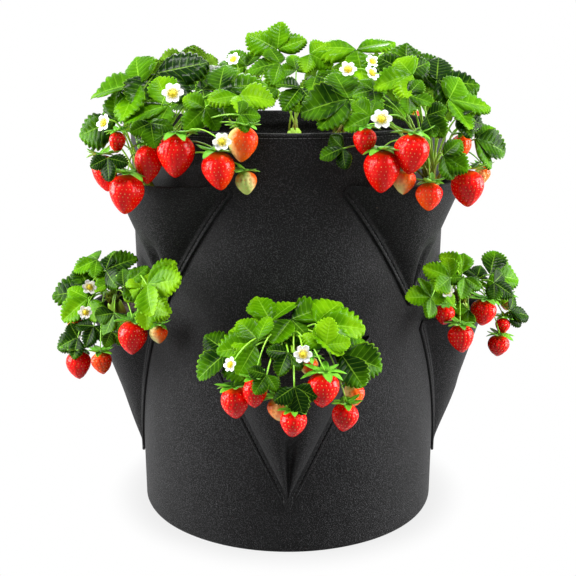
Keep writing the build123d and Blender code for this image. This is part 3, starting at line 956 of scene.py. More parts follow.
@dataclass(frozen=True)
class PetalFinish:
    """White petals, faintly green at the base."""

    white: Colour = (0.86, 0.87, 0.84)
    base: Colour = (0.66, 0.72, 0.45)

    def material(self) -> bpy.types.Material:
        """Builds the finish.

        Returns:
            The material.
        """
        s = Shader.named("white_petal")
        along = s.value("along")
        colour = s.mix(along.step(0.0, 0.45), self.base, self.white)
        return s.finish(Base_Color=colour, Roughness=0.6, Normal=s.bump(s.noise(700.0), 0.2, 0.3))


@dataclass(frozen=True)
class FloorFinish:
    """White floor that keeps the object's shadow and otherwise reads as the background; near the base it
    glows less, which paints a grey ring of shadow round it.
    """

    paint: Colour = (0.23, 0.23, 0.23)
    near_glow: float = 0.8
    clear_from: float = 0.172
    clear_to: float = 0.225

    def material(self) -> bpy.types.Material:
        """Builds the finish.

        Returns:
            The material.
        """
        s = Shader.named("white_floor")
        seen = s.background_rays()
        reach = s.node("ShaderNodeVectorMath", {"operation": "LENGTH"}, {0: s.place()}, "Value")
        # Painted shadow: within clear_from only near_glow of the floor glows, rising to full glow at
        # clear_to; the real shadow shows in the rest.
        glow_share = self.near_glow + reach.step(self.clear_from, self.clear_to) * (1 - self.near_glow)
        matt = s.node("ShaderNodeBsdfDiffuse", {}, {"Color": (*self.paint, 1)})
        glow = s.node("ShaderNodeEmission", {}, {"Color": (1, 1, 1, 1), "Strength": 1.0})
        s.show(s.node("ShaderNodeMixShader", {}, {0: seen * glow_share, 1: matt, 2: glow}))
        return s.owner


class Finishes:
    """One material for each finish."""

    def __init__(self) -> None:
        """Builds every finish once."""
        self.felt = FeltFinish().material()
        self.thread = THREAD.material()
        self.soil = SoilFinish().material()
        self.root = ROOT.material()
        self.leaf = LeafFinish().material()
        self.stem = StemFinish().material()
        self.calyx = CalyxFinish().material()
        self.berry = BerryFinish().material()
        self.seed = SEED.material()
        self.petal = PetalFinish().material()
        self.eye = EYE.material()


class Slot(Enum):
    """The record's material slots."""

    FELT = "felt"
    SOIL = "soil"
    LEAF = "leaf"
    BERRY = "berry"
    PETAL = "petal"


def dress(piece: bpy.types.Object, body: str, slot: Slot, *nodes: str) -> bpy.types.Object:
    """Lets a piece ride on a body and stand for nodes.

    Args:
        piece: The new object.
        body: The body that it moves with.
        slot: Not used.
        nodes: Nodes that it replaces.

    Returns:
        The same object.
    """
    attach(piece, body)
    if nodes:
        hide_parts(*nodes)
    LOG.info("%s: %d faces on %s", piece.name, len(piece.data.polygons), body)
    return piece


# The bag


@dataclass(frozen=True)
class BagSizes:
    """Sizes of the felt bag."""

    felt: float = 2.5
    base_radius: float = 175.0
    rim_radius: float = 179.0
    height: float = 450.0
    rim_hem: float = 20.0
    rim_stitch: float = 5.0
    base_seam: float = 12.0
    seam_gap: float = 0.1
    soil_drop: float = 35.0
    slack: float = 0.9
    body: str = "bag"

    def radius(self, height: np.ndarray | float) -> np.ndarray | float:
        """Radius of the wall's outer face, which widens evenly towards the rim."""
        return self.base_radius + (self.rim_radius - self.base_radius) * height / self.height

    def swell(self, angle: np.ndarray, height: np.ndarray) -> np.ndarray:
        """Slack in the felt: three slow waves round the wall that grow towards the rim.

        Args:
            angle: Angle round the wall, from the front.
            height: Height on the wall.

        Returns:
            What the slack adds to the wall's radius.
        """
        rise = 0.25 + 0.75 * height / self.height
        waves = 0.5 * np.sin(3 * angle + 0.7 + height / 160) + 0.35 * np.sin(7 * angle + 2.1 - height / 90)
        return self.slack * rise * (waves + 0.2 * np.sin(13 * angle + height / 55))


@dataclass(frozen=True)
class PocketRow:
    """One height of pockets."""

    mouth: float
    tip: float
    half_width: float
    reach: float
    setback: float
    tip_margin: float = 13.0
    flange: float = 8.0
    corner_width: float = 6.0
    corner_height: float = 9.0
    hem: float = 12.0
    hem_inset: float = 2.5
    soil_drop: float = 16.0
    plug_cover: float = 8.0
    plug_taper: float = PLUG_TAPER
    plug_length: float = 46.0
    stitch_inset: float = 4.5
    soil_gap: float = 3.0
    crust: float = 4.0

    @property
    def bulge_tip(self) -> float:
        """Height where the panel starts to stand off the wall."""
        return self.tip + self.tip_margin

    @property
    def slope(self) -> float:
        """Half width that the V gains for each millimetre of height."""
        return self.half_width / (self.mouth - self.bulge_tip)

    @property
    def widen(self) -> float:
        """Width of the flange, measured level."""
        return self.flange * math.sqrt(1 + self.slope**2)

    @property
    def plug_radius(self) -> float:
        """Radius of the root plug's upper end."""
        return min(self.setback, self.reach - self.setback) - self.plug_cover


LOWER = PocketRow(mouth=240.0, tip=52.0, half_width=86.0, reach=57.0, setback=28.5)
UPPER = PocketRow(mouth=398.0, tip=262.0, half_width=84.0, reach=46.0, setback=23.0)


@dataclass(frozen=True)
class Stitch:
    """A short thread that rises out of a groove and goes down again within one pitch."""

    last: float
    sunk: float
    rise: float
    first: float = 0.08
    radius: float = 0.42
    stations: int = 5
    sides: int = 6

    @property
    def share(self) -> np.ndarray:
        """Stations along the thread, as shares of the pitch."""
        return np.linspace(self.first, self.last, self.stations)

    @property
    def lift(self) -> np.ndarray:
        """Height of each station: half a sine wave."""
        wave = np.sin(math.pi * (self.share - self.first) / (self.last - self.first))
        return self.rise * wave - self.sunk

    def row(self, count: int) -> np.ndarray:
        """Stations of a row of stitches, from 0 to 1 along the row."""
        return (np.arange(count)[:, None] + self.share) / count

    def threads(self, paths: np.ndarray, sideways: Place | np.ndarray) -> Surface:
        """Tubes of thread along paths, with a direction across them all."""
        across = np.broadcast_to(np.array(sideways), (len(paths), 3))
        return tubes(paths, np.full(paths.shape[:2], self.radius), across, self.sides)


RIM_STITCH = Stitch(last=0.86, sunk=0.55, rise=0.75)
POCKET_STITCH = Stitch(last=0.84, sunk=0.25, rise=0.6)


@dataclass(frozen=True)
class FeltBag:
    """The bag's wall, base and rim stitching."""

    sizes: BagSizes
    finishes: Finishes
    sides: int = 288
    base_sides: int = 144
    stitch_count: int = 236
    groove: float = 0.7
    foot_round: float = 0.9
    corner: float = 0.8

    def wall(self) -> Surface:
        """Tapered wall: a profile up the outer face, over the rim fold and down inside, round the axis.

        Its radius is the cone's plus the slack, less a groove along the rim's stitching.

        Returns:
            The wall, with the value seam, which paints shade along the groove of the rim's stitching.
        """
        b = self.sizes
        stitch_z = b.height - b.rim_stitch
        near_rim = b.height - np.array([9, 7, 6, 5, 4, 3.2])
        outer_z = np.concatenate([[0.6, 1.6], np.linspace(3, b.height - 14, 46), near_rim])
        outer = -self.groove * bell(outer_z, stitch_z, 1.3) - self.foot_round * bell(outer_z, 0, 1.2)
        arc = np.linspace(0, math.pi, 9)
        fold, fold_z = b.felt * (np.cos(arc) - 1), b.height - b.felt + b.felt * np.sin(arc)
        hem_z = b.height - np.array([6, 12, b.rim_hem - 0.6])
        below_hem = b.height - b.rim_hem - 0.8
        inner_z = np.concatenate([[below_hem], np.linspace(b.height - 30, 3, 16), [1.6, 0.6]])
        hem, inner = np.full(len(hem_z), -2 * b.felt), np.full(len(inner_z), -b.felt)
        foot = [self.foot_round - b.felt, -self.foot_round]
        offset = np.concatenate([outer, fold, hem, inner, foot])
        height = np.concatenate([outer_z, fold_z, hem_z, inner_z, [0.0, 0.0]])
        z, a = height[:, None], circle(self.sides)[None, :]
        radius = b.radius(z) + offset[:, None] + b.swell(a, z)
        points = np.stack([radius * np.sin(a), -radius * np.cos(a), z + 0 * a], -1)
        faces = grid_faces(len(height), self.sides, around_rows=True, around_cols=True)
        # Painted shade along the rim's stitch groove.
        seam = bell(z, stitch_z, 1.4) + 0 * a
        return Surface(points.reshape(-1, 3), [faces], {"seam": seam.ravel()})

    def base(self) -> Surface:
        """Round base with a turned-up seam allowance, a profile of radius and height round the axis.

        Returns:
            The closed base.
        """
        b, c, top = self.sizes, self.corner, self.sizes.base_seam
        edge = b.base_radius - b.felt - b.seam_gap - self.foot_round
        inner = edge - b.felt
        across = (20, 80, 140)
        seam = [(edge - 1, 0), (edge, c), (edge + 0.1, top - c), (edge - c, top), (inner + c, top)]
        seam += [(inner, top - c), (inner - 0.5, b.felt + 0.3)]
        profile = [(r, 0) for r in across] + seam + [(r, b.felt) for r in across[::-1]]
        r, z = np.array(profile, float).T[..., None]
        angle = circle(self.base_sides)
        rings = np.stack([r * np.cos(angle), r * np.sin(angle), z + 0 * angle], -1)
        return capped_rings(rings[None], 0 * UP[None], b.felt * UP[None])

    def rim_stitches(self) -> Surface:
        """Short threads end to end in the groove below the rim.

        Returns:
            The threads.
        """
        b = self.sizes
        angle = 2 * math.pi * RIM_STITCH.row(self.stitch_count)
        z = b.height - b.rim_stitch + 0 * angle
        radius = b.radius(z) + b.swell(angle, z) + RIM_STITCH.lift
        return RIM_STITCH.threads(np.stack([radius * np.sin(angle), -radius * np.cos(angle), z], -1), UP)

    def build(self) -> None:
        """Adds the wall, the base and the rim's stitches."""
        b = self.sizes
        wall = dress(self.wall().piece("bag_wall", self.finishes.felt), b.body, Slot.FELT, "felt_wall")
        base = dress(self.base().piece("bag_base", self.finishes.felt), b.body, Slot.FELT, "felt_base")
        thread = self.rim_stitches().piece("rim_stitches", self.finishes.thread)
        dress(thread, b.body, Slot.FELT)


@dataclass(frozen=True)
class Pocket:
    """One sewn-on pocket: a V-shaped panel that bulges off the wall, with flat sewn edges."""

    name: str
    row: PocketRow
    azimuth: float
    sizes: BagSizes
    finishes: Finishes
    seed: int
    crease: float
    crease_side: float
    dent: float = 2.2
    dent_length: float = 95.0
    groove: float = 1.5
    soft: float = 1.2
    edge_round: float = 0.9
    edge_drop: float = 1.6
    hem_dip: float = 0.35
    stitch_pitch: float = 4.6
    cut_width: float = 2.9
    cut_length: float = 1.05
    cut_share: float = 0.62

    def outer(self, x: np.ndarray, z: np.ndarray) -> np.ndarray:
        """Distance to the front of the panel's outer face.

        The bulge is the arc through both seams and the mouth's reach at each height, softened by
        dents and a crease, which fade where roots fill the pocket. Outside it the felt lies on the
        wall, with a groove along the stitches. The face is whichever stands further out.

        Args:
            x: Distance to the right of the pocket's middle.
            z: Height.

        Returns:
            Distance to the front of the bag's axis.
        """
        row, b = self.row, self.sizes
        share = np.maximum((z - row.bulge_tip) / (row.mouth - row.bulge_tip), 0.004)
        half = share * row.half_width
        wall = b.radius(z)
        reach = b.felt + share * (row.reach - b.felt)
        seam = np.sqrt(wall**2 - half**2)
        rise = wall + reach - seam
        round_radius = (half**2 + rise**2) / (2 * rise)
        bulge = seam + rise - round_radius + np.sqrt(np.maximum(round_radius**2 - x**2, 0))
        place = np.stack([x + 0 * z, 0 * x + 0 * z, z + 0 * x], -1)
        inside = np.clip(1 - (x / half) ** 2, 0, 1)
        lumps = ripple(place + 400 * self.seed, self.dent_length, self.seed, 5)
        dents = lumps * self.dent * np.sqrt(share)
        crease = self.crease * bell(share, 0.3, 0.24) * bell(x / half, self.crease_side, 0.24)
        held = ease(share, 0.4, 0.54) * bell(x, 0.0, 20.0)
        bulge = bulge + inside * (dents - crease) * (1 - held)
        groove = self.groove * bell(np.abs(x) - half, row.widen - row.stitch_inset, 0.8)
        flat = np.sqrt((wall + b.felt + b.seam_gap - groove) ** 2 - x**2)
        return np.logaddexp(bulge / self.soft, flat / self.soft) * self.soft

    def edge(self, z: np.ndarray) -> np.ndarray:
        """Half width of the flange: the seam's V plus the flange, with cut corners at the mouth.

        Args:
            z: Height.

        Returns:
            Distance from the pocket's middle to its cut edge.
        """
        row = self.row
        straight = (z - row.bulge_tip) * row.slope + row.widen
        shoulder = (row.mouth - row.corner_height - row.bulge_tip) * row.slope + row.widen
        corner = shoulder - row.corner_width * (z - row.mouth + row.corner_height) / row.corner_height
        return np.where(z > row.mouth - row.corner_height, corner, straight)

    def panel(self) -> Surface:
        """The pocket's felt: outer face, edges and mouth hem, as one closed sheet over the V.

        Columns run from edge to edge, closer together at the flanges, and rows from tip to mouth. The
        under layer lies one felt thickness further in, or two within the hem.

        Returns:
            The panel, with the value seam, which paints shade in the stitch grooves, at the cut edges and
            along the hem.
        """
        row, b = self.row, self.sizes
        high, hem_edge = row.mouth - b.felt, row.mouth - row.hem
        tip_rows = row.tip + np.array([0, 0.7, 2.5])
        mouth_rows = high + b.felt * np.array([0.25, 0.6, 1.0])
        rows = np.concatenate([tip_rows, np.linspace(row.tip + 6, high - 1, 54), mouth_rows])
        inner = np.sin(np.linspace(-1, 1, 49) * math.pi / 2)
        edge_share = np.array([0.1, 0.22, 0.34, 0.42, 0.48, 0.53, 0.58, 0.64, 0.74, 0.84, 0.9, 0.95, 1.0])
        z = rows[:, None]
        limit = self.edge(z)
        half = np.minimum(np.maximum((z - row.bulge_tip) * row.slope, 0.8), limit - 1.0)
        flank = half + (limit - half) * edge_share
        x = np.concatenate([-flank[:, ::-1], half * inner, flank], axis=1)
        y = self.outer(x, z)
        over = np.clip((z - high) / b.felt, 0, 1)
        rounded = b.felt * (1 - np.sqrt(np.maximum(1 - over**2, 0)))
        wall = np.sqrt(b.radius(z) ** 2 - x**2)
        inward = limit - np.abs(x)
        side = np.maximum(self.edge_round - inward, 0) / self.edge_round
        hem_line = bell(z, hem_edge + row.hem_inset, 1.0)
        face = y - rounded - self.edge_drop * side**2 - self.hem_dip * hem_line
        thick = b.felt * (1 + ease(z, hem_edge - 0.6, hem_edge + 0.6))
        slack = b.swell(np.arctan2(x, y) + math.radians(self.azimuth), z)
        layers = np.maximum(face, wall + 0.4), np.maximum(y - thick + rounded, wall + 0.08)
        upper, under = (np.stack([x, -(layer + slack), z + 0 * x], -1)[None] for layer in layers)
        # Painted shade: darker in the stitch groove, along the flange's cut edge and on the hem line.
        painted_seam_shade = bell(inward, row.stitch_inset, 0.7) + bell(inward, 0.0, 0.6)
        seam = np.clip(painted_seam_shade + 0.7 * hem_line, 0, 1)
        return closed_sheets(upper, under, {"seam": seam[None]}).turned(self.azimuth)

    def stitches(self) -> Surface:
        """Threads along both sewn edges, laid in the groove of the flange.

        Returns:
            The threads of the right edge and then of the left.
        """
        row, b = self.row, self.sizes
        span = row.mouth - row.bulge_tip
        count = int((span - 14) * math.sqrt(1 + row.slope**2) / self.stitch_pitch)
        z = row.bulge_tip - 6 + POCKET_STITCH.row(count) * (span - 8)
        x = np.maximum((z - row.bulge_tip) * row.slope, 0) + row.widen - row.stitch_inset
        y = self.outer(x, z) + POCKET_STITCH.lift
        paths = []
        for edge_x in (x, -x):
            slack = b.swell(np.arctan2(edge_x, b.radius(z)) + math.radians(self.azimuth), z)
            paths.append(np.stack([edge_x, -(y + slack), z], -1))
        return POCKET_STITCH.threads(np.concatenate(paths), (1.0, 0.0, -0.4)).turned(self.azimuth)

    def soil(self) -> Surface:
        """Soil in the mouth: a lumpy level crust with a pit that leans and tapers as the root plug does.

        Returns:
            The crust, a closed sheet.
        """
        row, b = self.row, self.sizes
        top = row.mouth - row.soil_drop
        share = (top - row.bulge_tip) / (row.mouth - row.bulge_tip)
        half = share * row.half_width - 4.0 * b.felt
        across = np.sin(np.linspace(-1, 1, 57) * math.pi / 2)[:, None]
        depth = np.linspace(0, 1, 33)[None, :]
        x = half * across + 0 * depth
        level = np.full_like(x, top)
        near = np.sqrt(b.radius(top) ** 2 - x**2) + b.felt + 0.5
        far = np.maximum(self.outer(x, level) - b.felt - row.soil_gap, near + 0.6)
        y = near + (far - near) * depth
        lean = math.tan(LIFT_TILT)
        middle = b.radius(row.mouth) + row.reach - row.setback - lean * row.soil_drop
        away = np.hypot(x, y - middle)
        place = np.stack([x, -y, level], -1)
        lumps = 1.6 * ripple(place, 13, self.seed + 40) + 0.8 * ripple(place, 6, self.seed + 41)
        lumps = lumps * ease(away, row.plug_radius, row.plug_radius + 6)

        def layer(wider: float, lower: float) -> np.ndarray:
            """Points of one face of the crust.

            Args:
                wider: How much wider its pit is than the plug.
                lower: How far it lies below the crust's top.

            Returns:
                The points, shaped across, depth, 3.
            """
            rim = row.plug_radius + wider
            drop = row.plug_length * (1 - ease(away, rim - 3.5, rim + 0.8))
            narrow = 1 - row.plug_taper / row.plug_radius * drop / row.plug_length
            pit_y = middle + (y - middle) * narrow - lean * drop
            return np.stack([x * narrow, -pit_y, level + lumps - lower - drop], -1)

        upper, under = layer(0.0, 0.0), layer(1.2, row.crust)
        return closed_sheets(upper[None, :, ::-1], under[None, :, ::-1], {}).turned(self.azimuth)

    def build(self) -> Surface:
        """Adds the pocket's felt and stitches.

        Returns:
            The pocket's soil, which joins that of the other pockets.
        """
        node = f"pocket_{self.name}"
        b, row = self.sizes, self.row
        panel = dress(self.panel().piece(f"{node}_panel", self.finishes.felt), b.body, Slot.FELT, node)
        thread = self.stitches().piece(f"{node}_stitches", self.finishes.thread)
        dress(thread, b.body, Slot.FELT)
        width = self.cut_width * row.half_width * MM
        length = (row.mouth - row.tip + row.hem) * self.cut_length * MM
        area = self.cut_share * width * length
        return self.soil()


@dataclass(frozen=True)
class BagSoil:
    """The bag's soil: a lumpy disc with the holes of the plants in its mouth."""

    sizes: BagSizes
    finishes: Finishes
    holes: tuple[tuple[float, float], ...]
    hole_radius: float = TOP_PLUG[0]
    hole_depth: float = TOP_PLUG[1]
    sides: int = 264
    rings: int = 78
    edge_gap: float = 1.5
    low_levels: tuple[float, float] = (120.0, 300.0)
    low_share: float = 0.97
    crumb_count: int = 420
    crumb_spread: float = 168.0

    def mound(self) -> Surface:
        """The soil's body: a polar grid with waves as lumps and a pit at each hole, over a flat underside.

        Returns:
            The closed body.
        """
        b = self.sizes
        level = b.height - b.soil_drop
        edge = b.radius(level) - b.felt - self.edge_gap
        r = edge * np.linspace(0.012, 1, self.rings)[:, None]
        angle = circle(self.sides)[None, :]
        x, y = r * np.cos(angle), r * np.sin(angle)
        place = np.stack([x, y, 0 * x], -1)
        lumps = 2.4 * ripple(place, 34, 5) + 1.5 * ripple(place, 12, 6) + 0.7 * ripple(place, 6, 7)
        pit, calm = np.zeros_like(x), np.ones_like(x)
        for hole_x, hole_y in self.holes:
            away = np.hypot(x - hole_x, y - hole_y)
            inside = 1 - ease(away, self.hole_radius - 4, self.hole_radius + 0.6)
            pit = np.maximum(pit, self.hole_depth * inside)
            calm = np.minimum(calm, ease(away, self.hole_radius, self.hole_radius + 8))
        z = level - 1.0 + lumps * calm - pit
        top = np.stack([x, y, z], -1)
        low = np.repeat(top[-1:] * self.low_share, 2, axis=0)
        low[..., 2] = np.array(self.low_levels)[:, None]
        body = np.concatenate([low, top[::-1]])
        return capped_rings(body[None], self.low_levels[0] * UP[None], z[0].mean() * UP[None])

    def crumbs(self) -> Surface:
        """Loose crumbs: small lumpy bodies strewn over the soil by the golden angle.

        Returns:
            The crumbs that lie clear of the holes.
        """
        b = self.sizes
        rng = np.random.default_rng(11)
        r, turn = spiral(self.crumb_count)
        x, y = self.crumb_spread * r * np.cos(turn), self.crumb_spread * r * np.sin(turn)
        clear = np.ones(len(x), dtype=bool)
        for hole_x, hole_y in self.holes:
            clear &= np.hypot(x - hole_x, y - hole_y) > self.hole_radius + 6
        x, y = x[clear], y[clear]
        size = rng.uniform(1.4, 4.2, len(x))[:, None, None]
        angle = circle(7)
        lift = np.array([-0.45, 0.45])[None, :, None]
        wobble = rng.uniform(0.7, 1.3, (len(x), 2, len(angle)))
        ring = np.stack([np.cos(angle) * wobble, np.sin(angle) * wobble, lift * wobble], -1)
        middle = np.stack([x, y, np.full(len(x), b.height - b.soil_drop + 1.2)], -1)
        pole = np.array([0, 0, 0.8]) * size[:, 0]
        return capped_rings(middle[:, None, None] + ring * size[..., None], middle - pole, middle + pole)

    def build(self, pocket_soil: list[Surface]) -> None:
        """Adds the bag's soil, its crumbs and the pockets' soil.

        Args:
            pocket_soil: The soil of each pocket.
        """
        body = self.sizes.body
        dress(self.mound().piece("bag_soil", self.finishes.soil), body, Slot.SOIL, "potting_soil")
        dress(self.crumbs().piece("soil_crumbs", self.finishes.soil), body, Slot.SOIL)
        filling = Surface.joined(pocket_soil).piece("pocket_filling", self.finishes.soil)
        dress(filling, body, Slot.SOIL, "pocket_soil")


# The plants


def facing(face: np.ndarray, bank: np.ndarray) -> tuple[np.ndarray, np.ndarray, np.ndarray]:
    """Finds how leaves or flowers stand.

    Args:
        face: Lean of each from lying flat towards the viewer, in degrees.
        bank: Lean of each to the right, in degrees.

    Returns:
        Directions across, up along and out of each.
    """
    lean, roll = np.radians(face)[:, None], np.radians(bank)[:, None]
    out = np.concatenate([np.sin(roll), -np.sin(lean) * np.cos(roll), np.cos(lean) * np.cos(roll)], 1)
    upwards = np.concatenate([0 * lean, np.cos(lean), np.sin(lean)], 1)
    return np.cross(upwards, out), upwards, out


@dataclass(frozen=True)
class LeafletForm:
    """Shape of one leaflet: a broad oval with a toothed margin, folded and pleated along its veins."""

    aspect: float = 0.8
    teeth: int = 8
    tooth: float = 0.06
    sweep: float = 0.17
    pleat: float = 0.006
    thickness: float = 0.55
    rows: int = 41
    cols: int = 15

    def layers(
        self, length: np.ndarray, rng: np.random.Generator
    ) -> tuple[np.ndarray, np.ndarray, np.ndarray]:
        """Upper and under layers of many leaflets, along +X, with +Z out of the upper face.

        With u along the midrib and s from margin to margin, a point lies on the straight vein from the
        midrib at u to the margin a little further on, at share |s|. The margin's half width is
        sin(pi x^1.08)^p, with p from 0.85 at the base to 0.72 at the tip, raised at each vein's end to
        a rounded tooth. The height adds a fold that rises from the midrib, an arch along it, a margin
        that curls and waves, and pleats between the veins.

        Args:
            length: Length of each leaflet.
            rng: Source of the leaflets' differences.

        Returns:
            Upper points, under points, and u and s at each point.
        """

        def draw(low: float, high: float) -> np.ndarray:
            """One random value for each leaflet."""
            return rng.uniform(low, high, (len(length), 1, 1))

        u = np.linspace(0.012, 0.992, self.rows)[None, :, None]
        s = np.linspace(-1, 1, self.cols)[None, None, :]
        s = np.sign(s) * np.abs(s) ** 0.8
        out = np.abs(s)
        size = length[:, None, None]
        lopsided = 1 + draw(-0.14, 0.14) * np.sign(s)
        margin = np.clip(u + self.sweep * np.sin(math.pi * u), 0, 1)
        half = 0.5 * self.aspect * np.sin(math.pi * margin**1.08) ** (0.85 - 0.13 * ease(margin, 0.4, 1.0))
        wave = np.abs(np.sin(math.pi * u * self.teeth))
        tooth = self.tooth * (wave**0.8 - 0.45) * np.sin(math.pi * np.clip(u, 0.02, 0.98)) ** 0.3
        x = u + (margin - u + 0.8 * tooth) * out
        y = np.sign(s) * out * (half + tooth) * lopsided
        fold = draw(0.08, 0.5) * (np.sqrt(y**2 + 0.0016) - 0.04)
        arch = -draw(0.0, 0.2) * x**2
        curl = -draw(0.02, 0.26) * out**4 * (0.4 + half)
        flutter = draw(0.0, 0.035) * out**2 * np.sin(2 * math.pi * (1.6 * u + draw(0, 1)) + 2.2 * s)
        pleats = -self.pleat * np.cos(2 * math.pi * (u * self.teeth - 0.5)) * np.sin(math.pi * out**0.8)
        z = fold + arch + curl + flutter + pleats * np.sin(math.pi * u) ** 0.4
        upper = np.stack([x * size, y * size, z * size], -1)
        under = upper - np.array([0, 0, self.thickness])
        where = np.stack([u + 0 * s + 0 * size, s + 0 * u + 0 * size], -1)
        return upper, under, where


def sepals(
    root: np.ndarray, axis: np.ndarray, out: np.ndarray, length: np.ndarray, curl: np.ndarray
) -> Surface:
    """Pointed sepals, each a closed sheet whose midline leaves its root level and curls up.

    With t along the sepal, the half width is 0.30 (1 - t)^0.8 (0.45 + 1.5 t) of its length, and the
    height curl t^2 of it plus a shallow trough across.

    Args:
        root: Where each starts.
        axis: Direction that each curls to.
        out: Direction that each points to.
        length: Length of each.
        curl: Rise of each tip, as a share of its length.

    Returns:
        The sepals, with the value under.
    """
    t = np.linspace(0, 0.985, 9)[None, :, None]
    s = np.linspace(-1, 1, 5)[None, None, :]
    half = 0.30 * (1 - t) ** 0.8 * (0.45 + 1.5 * t)
    rise = curl[:, None, None] * t**2 + 0.35 * half * s**2 + 0.04
    size = length[:, None, None, None]
    aside = np.cross(axis, out)[:, None, None]
    flat = t[..., None] * out[:, None, None] + (half * s)[..., None] * aside
    upper = root[:, None, None] + size * (flat + rise[..., None] * axis[:, None, None])
    under = upper - 0.45 * axis[:, None, None]
    return closed_sheets(upper, under, {})


def berry_side(share: np.ndarray) -> np.ndarray:
    """Radius of a berry, in half widths, at a share s of its length: sin(pi s^0.72)^0.66."""
    return np.sin(math.pi * share**0.72) ** 0.66


def seed_spots(row: Berry) -> tuple[np.ndarray, np.ndarray]:
    """Places of a berry's seeds, in staggered rows.

    Args:
        row: The berry's table row.

    Returns:
        Shares of the length from the top, and angles.
    """
    shares, angles = [], []
    for k, share in enumerate(np.arange(0.12, 0.97, SEED_ROW_GAP / row.length)):
        count = max(5, int(round(math.pi * row.width * float(berry_side(share)) / SEED_GAP)))
        number = np.arange(count) + 0.5 * (k % 2)
        angles.append(2 * math.pi * (number + 0.16 * np.sin(5 * number + k)) / count + 0.13 * k)
        shares.append(share + 0.012 * np.sin(7 * number + 2 * k))
    return np.concatenate(shares), np.concatenate(angles)


